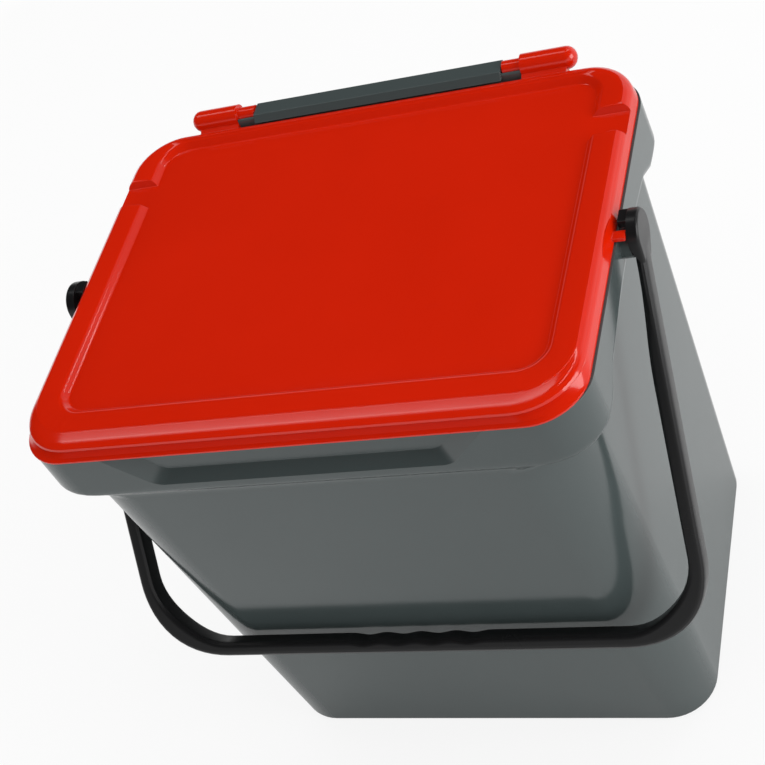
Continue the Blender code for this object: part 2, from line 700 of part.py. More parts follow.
def handle_stations():
    """Down the right arm, round the corner, along half the bar: place, outward normal, half width, wave."""
    top = Vector((COLLAR_HALF_WIDTH + ARM_CLEARANCE + ARM_WIDTH / 2, HEAD_OFFSET))
    bar = -HANDLE_REACH + BAR_WIDTH / 2
    corner = Vector((top.x + ARM_SPREAD, bar))
    down = (corner - top).normalized()
    turn = math.pi / 2 + math.atan2(down.x, -down.y)
    reach = HANDLE_CORNER_RADIUS * math.tan(turn / 2)
    bend_start = corner - down * reach
    outward = Vector((-down.y, down.x))
    centre = bend_start - outward * HANDLE_CORNER_RADIUS
    stations = []
    narrow = HEAD_INNER + RUNNING_GAP - (COLLAR_HALF_WIDTH + ARM_CLEARANCE)
    neck = HEAD_OFFSET + ARM_NECK_LENGTH
    places = [(0, narrow), (neck, narrow)]
    for step in range(1, ARM_STEPS + 1):
        share = step / ARM_STEPS
        places.append((neck + share * ARM_NECK_RAMP, narrow * (1 + math.cos(share * math.pi)) / 2))
    for along, thinning in places:
        middle = top + down * along + outward * thinning / 2
        stations.append((middle, outward, (ARM_WIDTH - thinning) / 2, 0))
    start_angle = math.atan2(outward.y, outward.x)
    for step in range(BEND_STEPS + 1):
        share = step / BEND_STEPS
        angle = start_angle - share * turn
        normal = Vector((math.cos(angle), math.sin(angle)))
        swell = math.sin(share * math.pi) ** 2 * (math.sqrt(2) - 1) * (ARM_WIDTH + BAR_WIDTH) / 4
        half = (ARM_WIDTH + share * (BAR_WIDTH - ARM_WIDTH)) / 2 + swell
        stations.append((centre + normal * HANDLE_CORNER_RADIUS, normal, half, 0))
    steps = GRIP_WAVES * WAVE_STEPS
    span = GRIP_WAVES * GRIP_PITCH
    for step in range(steps + 1):
        x = span * (1 - step / steps)
        wave = GRIP_DEPTH * (1 - math.cos(2 * math.pi * x / GRIP_PITCH)) / 2
        stations.append((Vector((x, bar)), Vector((0, -1)), BAR_WIDTH / 2, wave))
    return stations


def handle_section(place, outward, half, wave):
    """A rounded oblong across the handle; the wave cuts into the side that the fingers hold."""
    thick = HANDLE_THICKNESS / 2
    inner = half - wave
    corners = ((-inner, -thick), (half, -thick), (half, thick), (-inner, thick))
    points = filleted(corners, [HANDLE_EDGE_RADIUS] * len(corners), len(corners) // 2 + 1)
    return [Vector((place.x + u * outward.x, v, place.y + u * outward.y)) for u, v in points]


def mirrored(ring):
    return [Vector((-point.x, point.y, point.z)) for point in ring]


def head_outline():
    """The arm's end from the side, in the handle's frame: a round top, its flanks running into the arm."""
    middle = HEAD_OFFSET
    end = middle - HEAD_LENGTH
    half = HANDLE_THICKNESS / 2
    tilt = math.asin((HEAD_RADIUS - half) / HEAD_LENGTH)
    points = []
    for step in range(HEAD_STEPS + 1):
        angle = -tilt + step / HEAD_STEPS * (math.pi + 2 * tilt)
        points.append((HEAD_RADIUS * math.cos(angle), middle + HEAD_RADIUS * math.sin(angle)))
    return points + [(-half, end), (half, end)]


def make_head(side, additions):
    """The egg-shaped end of one arm, with a rounded outer edge, standing over the pivot."""
    inner = side * HEAD_INNER
    edge = side * (HEAD_OUTER - HEAD_EDGE_RADIUS)
    points = head_outline()
    centre = Vector((0, HEAD_OFFSET))
    rings = [[Vector((x, y, z)) for y, z in points] for x in (inner, edge)]
    for step in range(1, EDGE_STEPS + 1):
        angle = step / EDGE_STEPS * math.pi / 2
        back_off = HEAD_EDGE_RADIUS * (1 - math.cos(angle)) / HEAD_RADIUS
        x = edge + side * HEAD_EDGE_RADIUS * math.sin(angle)
        drawn_in = [centre + (Vector(point) - centre) * (1 - back_off) for point in points]
        rings.append([Vector((x, y, z)) for y, z in drawn_in])
    head = as_helper(loft(f"head_{side}", rings, additions))
    head.location = (0, PIVOT_PLACE, PIVOT_Z)
    head.rotation_euler = (-handle_lean(), 0, 0)


def make_handle(parts, helpers, material):
    right = [handle_section(*station) for station in handle_stations()]
    rings = right + [mirrored(ring) for ring in reversed(right[:-1])]
    handle = loft("handle", rings, parts)
    handle.location = (0, PIVOT_PLACE, PIVOT_Z)
    handle.rotation_euler = (-handle_lean(), 0, 0)
    heads = helper_collection("handle_heads")
    hooks = helper_collection("handle_hooks")
    bores = helper_collection("handle_bores")
    for side in (-1, 1):
        make_head(side, heads)
        tab_back = TAB_PLACE + TAB_LENGTH / 2
        ends = sorted((side * (HEAD_INNER - HOOK_REACH), side * (HEAD_INNER + HEAD_OUTER) / 2))
        low = (ends[0], tab_back + HOOK_SETBACK, PIVOT_Z + HOOK_FOOT)
        high = (ends[1], tab_back + HOOK_SETBACK + HOOK_LENGTH, PIVOT_Z + HOOK_FOOT + HOOK_HEIGHT)
        block(f"hook_{side}", low, high, hooks)
        bore_radius = PIVOT_PIN_RADIUS + RUNNING_GAP
        bore_end = HEAD_INNER + PIVOT_PIN_LENGTH
        start = COLLAR_HALF_WIDTH - OVERRUN
        rod(f"pivot_bore_{side}", start, bore_end, bore_radius, side, (PIVOT_PLACE, PIVOT_Z), bores)
    combine(handle, "Heads", "UNION", heads)
    combine(handle, "Hooks", "UNION", hooks)
    combine(handle, "Bores", "DIFFERENCE", bores)
    return finish(handle, material)


def body_material():
    return plastic("grey_plastic", (0.125, 0.150, 0.150), 0.22)


def lid_material():
    return plastic("red_plastic", (0.62, 0.012, 0.002), 0.18)


def handle_material():
    return plastic("black_plastic", (0.018, 0.018, 0.019), 0.30)


def main():
    for obj in list(bpy.data.objects):
        bpy.data.objects.remove(obj, do_unlink=True)
    parts = new_collection("waste_bin")
    helpers = helper_collection("hollows")
    make_body(parts, helpers, body_material())
    make_lid(parts, helpers, lid_material())
    make_handle(parts, helpers, handle_material())


main()
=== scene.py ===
import json
import math

import bmesh
import bpy
from mathutils import Matrix, Vector

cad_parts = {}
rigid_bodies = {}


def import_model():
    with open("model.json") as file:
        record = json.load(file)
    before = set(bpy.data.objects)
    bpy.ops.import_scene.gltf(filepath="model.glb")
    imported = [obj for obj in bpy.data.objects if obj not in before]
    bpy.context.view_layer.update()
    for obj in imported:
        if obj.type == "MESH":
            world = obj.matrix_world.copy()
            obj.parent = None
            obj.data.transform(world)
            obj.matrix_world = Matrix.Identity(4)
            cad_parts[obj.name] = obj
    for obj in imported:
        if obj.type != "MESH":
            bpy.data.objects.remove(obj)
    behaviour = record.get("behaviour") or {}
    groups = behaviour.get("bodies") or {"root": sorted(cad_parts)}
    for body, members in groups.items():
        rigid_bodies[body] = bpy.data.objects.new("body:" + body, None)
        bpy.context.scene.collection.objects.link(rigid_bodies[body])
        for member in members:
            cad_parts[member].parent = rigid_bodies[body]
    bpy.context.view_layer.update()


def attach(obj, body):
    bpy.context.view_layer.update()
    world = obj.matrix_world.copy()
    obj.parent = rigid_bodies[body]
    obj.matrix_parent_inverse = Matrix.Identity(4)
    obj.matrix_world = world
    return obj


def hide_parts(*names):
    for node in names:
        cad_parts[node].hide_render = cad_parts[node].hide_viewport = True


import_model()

# The photograph's viewpoint: a long lens held high in front of the right-hand side, turned
# clockwise, so that the upright bin seems to tip over.
VIEW_PLACE = (0.49658, -0.73788, 1.09781)
VIEW_RIGHT = Vector((0.903948, 0.209487, -0.372819))
VIEW_UP = Vector((0.085082, 0.766270, 0.636861))
VIEW_BACK = Vector((0.419094, -0.607409, 0.674844))
VIEW_LENS = 78.077
VIEW_SHIFT_X = -0.0012
VIEW_SHIFT_Y = 0.0009

camera_data = bpy.data.cameras.new("photo_view")
camera_data.sensor_width = 36
camera_data.lens = VIEW_LENS
camera_data.shift_x = VIEW_SHIFT_X
camera_data.shift_y = VIEW_SHIFT_Y
camera = bpy.data.objects.new("photo_view", camera_data)
bpy.context.scene.collection.objects.link(camera)
turn = Matrix((VIEW_RIGHT, VIEW_UP, VIEW_BACK)).transposed().to_4x4()
camera.matrix_world = Matrix.Translation(VIEW_PLACE) @ turn
bpy.context.scene.camera = camera
bpy.context.scene.view_settings.view_transform = "Standard"

# The studio floor: a plain pale sheet under the bin that runs out to a white surround. The camera
# sees it mostly white, with a faint shadow near the bin. Further out it is white in the gloss too.
FLOOR_HALF = 6.0
FLOOR_COLOUR = (0.90, 0.90, 0.90, 1)
FLOOR_PALENESS = 0.85
FLOOR_FADE_START = 0.9
FLOOR_FADE_END = 1.6


def join(tree, *links):
    """Links given as pairs of an output and an input socket."""
    for source, target in links:
        tree.links.new(source, target)


def maths(tree, operation, first, second):
    """A Math node fed by the two sockets or numbers given."""
    node = tree.nodes.new("ShaderNodeMath")
    node.operation = operation
    for socket, value in zip(node.inputs, (first, second)):
        if isinstance(value, (int, float)):
            socket.default_value = value
        else:
            tree.links.new(value, socket)
    return node.outputs["Value"]


def smooth_range(tree, value, start, end, low=0.0, high=1.0):
    """The value's place between start and end, eased, from low to high."""
    node = tree.nodes.new("ShaderNodeMapRange")
    node.interpolation_type = "SMOOTHSTEP"
    limits = {"From Min": start, "From Max": end, "To Min": low, "To Max": high}
    for name, number in limits.items():
        node.inputs[name].default_value = number
    tree.links.new(value, node.inputs["Value"])
    return node.outputs["Result"]


def seen_directly(tree):
    """The ray's node, and 1 for what is seen or mirrored, 0 for light that falls on the object."""
    ray = tree.nodes.new("ShaderNodeLightPath")
    seen = maths(tree, "MAXIMUM", ray.outputs["Is Camera Ray"], ray.outputs["Is Glossy Ray"])
    return ray, maths(tree, "MAXIMUM", seen, ray.outputs["Is Transmission Ray"])


def as_object(name, form, collection):
    """The finished form as an object in the collection."""
    mesh = bpy.data.meshes.new(name)
    form.to_mesh(mesh)
    form.free()
    obj = bpy.data.objects.new(name, mesh)
    collection.objects.link(obj)
    return obj


form = bmesh.new()
bmesh.ops.create_grid(form, x_segments=1, y_segments=1, size=FLOOR_HALF)
floor = as_object("studio_floor", form, bpy.context.scene.collection)
floor_paint = bpy.data.materials.new("pale_floor")
floor_paint.use_nodes = True
tree = floor_paint.node_tree
tree.nodes.clear()
output = tree.nodes.new("ShaderNodeOutputMaterial")
blend = tree.nodes.new("ShaderNodeMixShader")
matt = tree.nodes.new("ShaderNodeBsdfDiffuse")
matt.inputs["Color"].default_value = FLOOR_COLOUR
white = tree.nodes.new("ShaderNodeEmission")
white.inputs["Color"].default_value = (1, 1, 1, 1)
white.inputs["Strength"].default_value = 1.0
where = tree.nodes.new("ShaderNodeTexCoord")
away = tree.nodes.new("ShaderNodeVectorMath")
away.operation = "LENGTH"
join(tree, (where.outputs["Object"], away.inputs[0]))
fade = smooth_range(tree, away.outputs["Value"], FLOOR_FADE_START, FLOOR_FADE_END)
ray, seen = seen_directly(tree)
far_white = maths(tree, "MULTIPLY", seen, fade)
near_white = maths(tree, "MULTIPLY", ray.outputs["Is Camera Ray"], FLOOR_PALENESS)
join(
    tree,
    (maths(tree, "MAXIMUM", far_white, near_white), blend.inputs["Fac"]),
    (matt.outputs["BSDF"], blend.inputs[1]),
    (white.outputs["Emission"], blend.inputs[2]),
    (blend.outputs["Shader"], output.inputs["Surface"]),
)
floor.data.materials.append(floor_paint)

# The surround: a white room to the camera, an even light on the object, and in the gloss a white
# room under a dark ceiling, which begins lower at the left than at the right.
SURROUND_LIGHT = 0.72
CEILING_TILT = 0.30
CEILING_START = 0.02
CEILING_END = 0.48
CEILING_LEVEL = 0.01

surround = bpy.data.worlds.new("white_surround")
bpy.context.scene.world = surround
surround.use_nodes = True
tree = surround.node_tree
tree.nodes.clear()
output = tree.nodes.new("ShaderNodeOutputWorld")
blend = tree.nodes.new("ShaderNodeMixShader")
even = tree.nodes.new("ShaderNodeBackground")
even.inputs["Color"].default_value = (1, 1, 1, 1)
even.inputs["Strength"].default_value = SURROUND_LIGHT
white = tree.nodes.new("ShaderNodeBackground")
white.inputs["Color"].default_value = (1, 1, 1, 1)
where = tree.nodes.new("ShaderNodeTexCoord")
split = tree.nodes.new("ShaderNodeSeparateXYZ")
join(tree, (where.outputs["Generated"], split.inputs["Vector"]))
lean = maths(tree, "MULTIPLY", split.outputs["X"], CEILING_TILT)
height = maths(tree, "SUBTRACT", split.outputs["Z"], lean)
ceiling = smooth_range(tree, height, CEILING_START, CEILING_END, 1.0, CEILING_LEVEL)
ray, seen = seen_directly(tree)
join(
    tree,
    (maths(tree, "MAXIMUM", ceiling, ray.outputs["Is Camera Ray"]), white.inputs["Strength"]),
    (seen, blend.inputs["Fac"]),
    (even.outputs["Background"], blend.inputs[1]),
    (white.outputs["Background"], blend.inputs[2]),
    (blend.outputs["Shader"], output.inputs["Surface"]),
)

# Soft boxes: a wide dim one behind for the lid's side slopes, a brighter one for the right-hand
# wall, a narrow strip behind for the thin bright lines at the lid's right, and a strip overhead
# with a brighter middle for the graded line along the lid's front edge.
SOFT_BOXES = (
    # Name, place, the point it faces, width and length, and watts.
    ("back_box", (0.96, 1.68, 1.84), (0, 0, 0.40), (1.8, 1.8), 4),
    ("side_box", (2.00, -0.30, 0.90), (0, 0, 0.20), (1.2, 1.2), 20),
    ("back_strip", (0.84, 0.96, 2.33), (0.15, -0.10, 0.42), (0.12, 1.5), 3.2),
    ("overhead_box", (-0.90, 0.58, 2.45), (-0.90, -0.10, 0.40), (1.8, 0.60), 3.5),
    ("overhead_middle", (-0.90, 0.60, 2.40), (-0.90, -0.10, 0.40), (1.8, 0.26), 2.2),
)

for name, place, target, sides, watts in SOFT_BOXES:
    light = bpy.data.lights.new(name, "AREA")
    light.shape = "RECTANGLE"
    light.size, light.size_y = sides
    light.energy = watts
    box = bpy.data.objects.new(name, light)
    bpy.context.scene.collection.objects.link(box)
    aim = (Vector(target) - Vector(place)).to_track_quat("-Z", "Y").to_matrix().to_4x4()
    box.matrix_world = Matrix.Translation(place) @ aim

# The grey body: one injection moulding in polypropylene, smooth and glossy from a polished mould.
# It has a tapered tub, a collar that turns under in an ogee and arches up at the sides, a finger
# recess, the hinge's beam along the back and a boss at each side for the handle.
BODY_TOP = 0.4002
COLLAR_HALF_WIDTH = 0.2016
COLLAR_HALF_DEPTH = 0.1524
COLLAR_CORNER_RADIUS = 0.0350
COLLAR_FACE_DROP = 0.0340
COLLAR_OGEE_DROP = 0.0170
SIDE_OVERHANG = 0.0185
FRONT_OVERHANG = 0.0026
BACK_OVERHANG = 0.0012
SIDE_DRAFT = 0.0061
FRONT_DRAFT = 0.0288
BACK_DRAFT = 0.0284
NECK_FRONT_RADIUS = 0.0500
NECK_BACK_RADIUS = 0.0268
BASE_FRONT_RADIUS = 0.0360
BASE_BACK_RADIUS = 0.0284
BASE_EDGE_RADIUS = 0.0045
BODY_WALL = 0.0030
BASE_THICKNESS = 0.0035
# Share of the way down from the collar's face to its foot, and share of the overhang left there.
COLLAR_CURVE_SHARES = (
    (0.00, 1.00), (0.14, 0.985), (0.25, 0.94), (0.33, 0.85), (0.38, 0.73), (0.42, 0.58),
    (0.48, 0.42), (0.56, 0.27), (0.67, 0.14), (0.82, 0.04), (1.00, 0.00),
)
EDGE_ARC_SHARES = (0.0, 0.35, 0.7, 1.0)
ARCH_FRONT = -0.0980
ARCH_BACK = 0.0910
ARCH_STEP = 0.0250
ARCH_CROWN_DROP = 0.0180
ARCH_END_DROP = 0.0258
RECESS_HALF_WIDTH = 0.1035
RECESS_DROP = 0.0300
RECESS_DEPTH = 0.0078
RECESS_TAPER = 0.0048
RECESS_CORNER_RADIUS = 0.0150
RECESS_SIDE_SLOPE_SHARE = 1.0
RECESS_LIP_RADIUS = 0.0028
SEAT_GAP = 0.0003
LID_LIP_OVERHANG = 0.0030
HINGE_SETBACK = 0.0086
HINGE_HEIGHT = 0.0148
KNUCKLE_START = 0.1145
HINGE_PIN_RADIUS = 0.0056
SPIGOT_RADIUS = 0.0022
SPIGOT_LENGTH = 0.0100
BEAM_HALF_LENGTH = 0.0995
BEAM_TOP_FRONT = 0.0075
BEAM_TOP_BACK = 0.0063
BEAM_TOP_RISE = 0.0034
BEAM_EDGE_RADIUS = 0.0008
LEDGE_RISE = 0.0009
LEDGE_BACK = 0.0080
LEDGE_CHAMFER = 0.0008
BEAM_FRONT_SLOPE = 0.0036
SHELF_DROP = 0.0016
SHELF_THICKNESS = 0.0030
BEAM_WALL = 0.0028
BEAM_RIBS = 6
BEAM_RIB_THICKNESS = 0.0025
GUSSET_DEPTH = 0.0200
GUSSETS = 5
PIVOT_PLACE = 0.0008
PIVOT_DROP = 0.0118
BOSS_RADIUS = 0.0105
BOSS_LENGTH = 0.0060
PIVOT_PIN_RADIUS = 0.0060
PIVOT_PIN_LENGTH = 0.0053
RUNNING_GAP = 0.0003
PIVOT_END_GAP = 0.0005
OVERRUN = 0.0100
CORNER_STEPS = 12
ROUND_STEPS = 32
FILLET_STEPS = 5
SIDE_STEPS = 24
NECK_HALF_WIDTH = COLLAR_HALF_WIDTH - SIDE_OVERHANG
NECK_FRONT = -COLLAR_HALF_DEPTH + FRONT_OVERHANG
NECK_BACK = COLLAR_HALF_DEPTH - BACK_OVERHANG
NECK_LEVEL = BODY_TOP - COLLAR_FACE_DROP - COLLAR_OGEE_DROP
LID_FOOT = BODY_TOP + SEAT_GAP
LID_HALF_DEPTH = COLLAR_HALF_DEPTH + LID_LIP_OVERHANG
HINGE_Y = LID_HALF_DEPTH + HINGE_SETBACK
HINGE_Z = LID_FOOT + HINGE_HEIGHT
BEAM_ROOT = COLLAR_HALF_DEPTH - BODY_WALL / 2
SHELF_FOOT = BODY_TOP - SHELF_DROP - SHELF_THICKNESS
LEDGE_HALF_LENGTH = KNUCKLE_START - RUNNING_GAP
LEDGE_FRONT = LID_HALF_DEPTH + 2 * RUNNING_GAP
LEDGE_END = HINGE_Y + LEDGE_BACK
PIVOT_Z = LID_FOOT - PIVOT_DROP
HEAD_INNER = COLLAR_HALF_WIDTH + BOSS_LENGTH + PIVOT_END_GAP
GREY = (0.056, 0.071, 0.071, 1)
GREY_RUBBED = (0.095, 0.112, 0.112, 1)
GREY_ROUGHNESS = 0.13
MERGE = 0.00001
FLAT_ANGLE = math.radians(0.3)
SMOOTH_ANGLE = math.radians(23)
SOFT_EDGE = 0.0004
BEVEL_SAMPLES = 4
# Scale and detail of the skin's noises, how the scuffs are turned and drawn out, and the ranges
# over which scuffs, patches and worn edges fade in.
CLOUD_NOISE = (11, 3)
WAVE_NOISE = (26, 1)
GRAIN_NOISE = (1500, 2)
SCUFF_NOISE = (38, 4)
PATCH_NOISE = (60, 3)
NOISE_MIDDLE = 0.5
SCUFF_TURN = (0.4, 0.7, 0.2)
SCUFF_STRETCH = (1, 14, 1)
SCUFF_RANGE = (0.60, 0.74)
PATCH_RANGE = (0.42, 0.62)
WORN_EDGE = 0.0014
WORN_EDGE_RANGE = (0.80, 0.99)
CLOUD_DULLING = 0.5
# The sockets of a Mix node that carry colours: first, second and result.
MIX_FIRST, MIX_SECOND, MIX_RESULT = 6, 7, 2

bench = []


def helper_collection(name):
    """A collection for the tools that shape one piece, emptied when the piece is finished."""
    collection = bpy.data.collections.new(name)
    bpy.context.scene.collection.children.link(collection)
    bench.append(collection)
    return collection


def loft(name, rings, collection):
    """One closed form drawn out from its first ring through the others, capped at both ends."""
    form = bmesh.new()
    row = [form.verts.new(point) for point in rings[0]]
    edges = [form.edges.new(pair) for pair in zip(row, row[1:] + row[:1])]
    bmesh.ops.contextual_create(form, geom=edges)
    for ring in rings[1:]:
        drawn = bmesh.ops.extrude_edge_only(form, edges=edges)["geom"]
        fresh = {item for item in drawn if isinstance(item, bmesh.types.BMVert)}
        edges = [item for item in drawn if isinstance(item, bmesh.types.BMEdge)]
        ends = [[edge.other_vert(vert) for edge in vert.link_edges] for vert in row]
        row = [next(vert for vert in choice if vert in fresh) for choice in ends]
        for vert, point in zip(row, ring):
            vert.co = point
    bmesh.ops.contextual_create(form, geom=edges)
    bmesh.ops.recalc_face_normals(form, faces=form.faces)
    return as_object(name, form, collection)


def outline(half_width, front, back, front_radius, back_radius, level, side_steps=1):
    """A rounded rectangle of points at one level, anticlockwise from above."""
    corners = (
        (half_width - back_radius, back - back_radius, back_radius, 0),
        (-half_width + back_radius, back - back_radius, back_radius, 1),
        (-half_width + front_radius, front + front_radius, front_radius, 2),
        (half_width - front_radius, front + front_radius, front_radius, 3),
    )
    points = []
    for x, y, radius, quarter in corners:
        for step in range(CORNER_STEPS + 1):
            angle = (quarter + step / CORNER_STEPS) * math.pi / 2
            across, along = radius * math.cos(angle), radius * math.sin(angle)
            points.append(Vector((x + across, y + along, level)))
        if quarter in (1, 3):
            side = half_width if quarter == 3 else -half_width
            start = points[-1].y
            end = front + front_radius if quarter == 1 else back - back_radius
            for step in range(1, side_steps):
                points.append(Vector((side, start + (end - start) * step / side_steps, level)))
    return points


def filleted(corners, radii, steps):
    """The corners of a flat polygon, each rounded to its radius where that isn't zero."""
    points = []
    count = len(corners)
    for index, (corner, radius) in enumerate(zip(corners, radii)):
        here = Vector(corner)
        if radius <= 0:
            points.append(here)
            continue
        before = (Vector(corners[index - 1]) - here).normalized()
        after = (Vector(corners[(index + 1) % count]) - here).normalized()
        half = before.angle(after) / 2
        reach = radius / math.tan(half)
        centre = here + (before + after).normalized() * radius / math.sin(half)
        first = here + before * reach - centre
        last = here + after * reach - centre
        turn = first.angle(last)
        for step in range(steps + 1):
            share = step / steps
            swung = first * math.sin((1 - share) * turn) + last * math.sin(share * turn)
            points.append(centre + swung / math.sin(turn))
    return points


def prism(name, points, start, end, collection):
    """A flat polygon in Y and Z, drawn out along X."""
    rings = [[Vector((x, y, z)) for y, z in points] for x in (start, end)]
    return loft(name, rings, collection)


def block(name, low, high, collection, edge=0.0):
    """A box between two corners, its edges rounded where a radius is given."""
    form = bmesh.new()
    bmesh.ops.create_cube(form, size=1)
    for vert in form.verts:
        vert.co = Vector(b if side > 0 else a for a, b, side in zip(low, high, vert.co))
    bmesh.ops.recalc_face_normals(form, faces=form.faces)
    obj = as_object(name, form, collection)
    if edge > 0:
        bevel = obj.modifiers.new("Edges", "BEVEL")
        bevel.width = edge
        bevel.segments = 2
    return obj


def turned(name, profile, side, place, collection):
    """A profile of (distance out, radius) turned about an axis along X, towards this side."""
    form = bmesh.new()
    verts = [form.verts.new((radius, 0, along)) for along, radius in reversed(profile)]
    for pair in zip(verts, verts[1:]):
        form.edges.new(pair)
    obj = as_object(name, form, collection)
    obj.location = (0, *place)
    obj.rotation_euler = (0, side * math.pi / 2, 0)
    screw = obj.modifiers.new("Turned", "SCREW")
    screw.steps = ROUND_STEPS
    screw.render_steps = ROUND_STEPS
    screw.use_merge_vertices = True
    screw.merge_threshold = MERGE
    return obj


def combine(obj, name, operation, operand):
    """An exact boolean between the object and another, or all the objects of a collection."""
    modifier = obj.modifiers.new(name, "BOOLEAN")
    modifier.operation = operation
    modifier.solver = "EXACT"
    if isinstance(operand, bpy.types.Collection):
        modifier.operand_type = "COLLECTION"
        modifier.collection = operand
    else:
        modifier.object = operand


def wall_outline(level, inset):
    """The tapered wall's outline at a level between neck and base, set in by the inset."""
    share = (NECK_LEVEL - level) / NECK_LEVEL
    return outline(
        NECK_HALF_WIDTH - share * SIDE_DRAFT - inset,
        NECK_FRONT + share * FRONT_DRAFT + inset,
        NECK_BACK - share * BACK_DRAFT - inset,
        NECK_FRONT_RADIUS + share * (BASE_FRONT_RADIUS - NECK_FRONT_RADIUS) - inset,
        NECK_BACK_RADIUS + share * (BASE_BACK_RADIUS - NECK_BACK_RADIUS) - inset,
        level,
        SIDE_STEPS,
    )


def arch_lift(y):
    """How far the collar's lower edge rises at this place along the side."""
    inside = 1
    for distance in (y - ARCH_FRONT, ARCH_BACK - y):
        share = min(max(distance / ARCH_STEP + 1 / 2, 0), 1)
        inside = min(inside, share * share * (3 - 2 * share))
    middle = (ARCH_FRONT + ARCH_BACK) / 2
    across = (y - middle) / (ARCH_BACK - middle)
    crown = ARCH_CROWN_DROP + (ARCH_END_DROP - ARCH_CROWN_DROP) * across * across
    return inside * (COLLAR_FACE_DROP - crown)


def collar_outline(overhang_share, level, inset, arched):
    """The collar's outline with a share of its overhang, raised along the sides where arched."""
    rest = 1 - overhang_share
    points = outline(
        NECK_HALF_WIDTH + overhang_share * SIDE_OVERHANG - inset,
        NECK_FRONT - overhang_share * FRONT_OVERHANG + inset,
        NECK_BACK + overhang_share * BACK_OVERHANG - inset,
        overhang_share * COLLAR_CORNER_RADIUS + rest * NECK_FRONT_RADIUS - inset,
        overhang_share * COLLAR_CORNER_RADIUS + rest * NECK_BACK_RADIUS - inset,
        level,
        SIDE_STEPS,
    )
    for point in points:
        point.z += arch_lift(point.y) if arched else 0
    return points


def shell_rings(bottom, inset, lift, top):
    """The body's form, set in by the inset: rounded base edge, tapered wall, ogee and collar."""
    rings = []
    for share in EDGE_ARC_SHARES:
        angle = share * math.pi / 2
        back_off = BASE_EDGE_RADIUS * (1 - math.sin(angle))
        level = bottom + BASE_EDGE_RADIUS * (1 - math.cos(angle))
        rings.append(wall_outline(level, inset + back_off))
    for drop_share, overhang_share in reversed(COLLAR_CURVE_SHARES):
        drop = COLLAR_FACE_DROP + drop_share * COLLAR_OGEE_DROP
        rings.append(collar_outline(overhang_share, BODY_TOP - drop + lift, inset, True))
    rings.append(collar_outline(1, top, inset, False))
    return rings


def recess_outline(y, taper, grown):
    """The recess seen from the front, at one depth, drawn in by its taper and grown by a wall."""
    foot = BODY_TOP - RECESS_DROP + taper - grown
    head = BODY_TOP + OVERRUN
    half = RECESS_HALF_WIDTH - taper + grown
    lean = RECESS_SIDE_SLOPE_SHARE * (head - foot)
    corners = ((-half, foot), (half, foot), (half + lean, head), (-half - lean, head))
    radii = (RECESS_CORNER_RADIUS + grown, RECESS_CORNER_RADIUS + grown, 0, 0)
    return [Vector((x, y, z)) for x, z in filleted(corners, radii, FILLET_STEPS)]


def recess_loft(name, grown, front, back, lip, collection):
    """The recess's form, flared at its front edge and tapering to the back, grown by a wall."""
    rings = [recess_outline(front, -lip, grown)]
    if lip > 0:
        for share in EDGE_ARC_SHARES:
            angle = share * math.pi / 2
            y = -COLLAR_HALF_DEPTH + lip * math.sin(angle)
            rings.append(recess_outline(y, lip * (math.sin(angle) - 1), grown))
    rings.append(recess_outline(back, RECESS_TAPER, grown))
    return loft(name, rings, collection)


def ledge_outline():
    """The hinge's shelf and ledge: from inside the collar's wall out under the pins."""
    shelf = BODY_TOP - SHELF_DROP
    top = HINGE_Z + LEDGE_RISE
    corners = (
        (BEAM_ROOT, SHELF_FOOT), (LEDGE_END, SHELF_FOOT), (LEDGE_END, top),
        (LEDGE_FRONT + LEDGE_CHAMFER, top), (LEDGE_FRONT, top - LEDGE_CHAMFER),
        (LEDGE_FRONT, shelf), (BEAM_ROOT, shelf),
    )
    radii = (0, BEAM_EDGE_RADIUS, BEAM_EDGE_RADIUS, BEAM_EDGE_RADIUS, BEAM_EDGE_RADIUS, 0, 0)
    return filleted(corners, radii, FILLET_STEPS)


def beam_outline():
    """The hinge beam's upper part, a plain flat bar with a sloped front over the spigots."""
    root = HINGE_Z + LEDGE_RISE - BEAM_WALL
    front = HINGE_Y - BEAM_TOP_FRONT
    back = HINGE_Y + BEAM_TOP_BACK
    top = HINGE_Z + BEAM_TOP_RISE
    corners = ((front - BEAM_FRONT_SLOPE, root), (back, root), (back, top), (front, top))
    return filleted(corners, (0, 0, BEAM_EDGE_RADIUS, BEAM_EDGE_RADIUS), FILLET_STEPS)


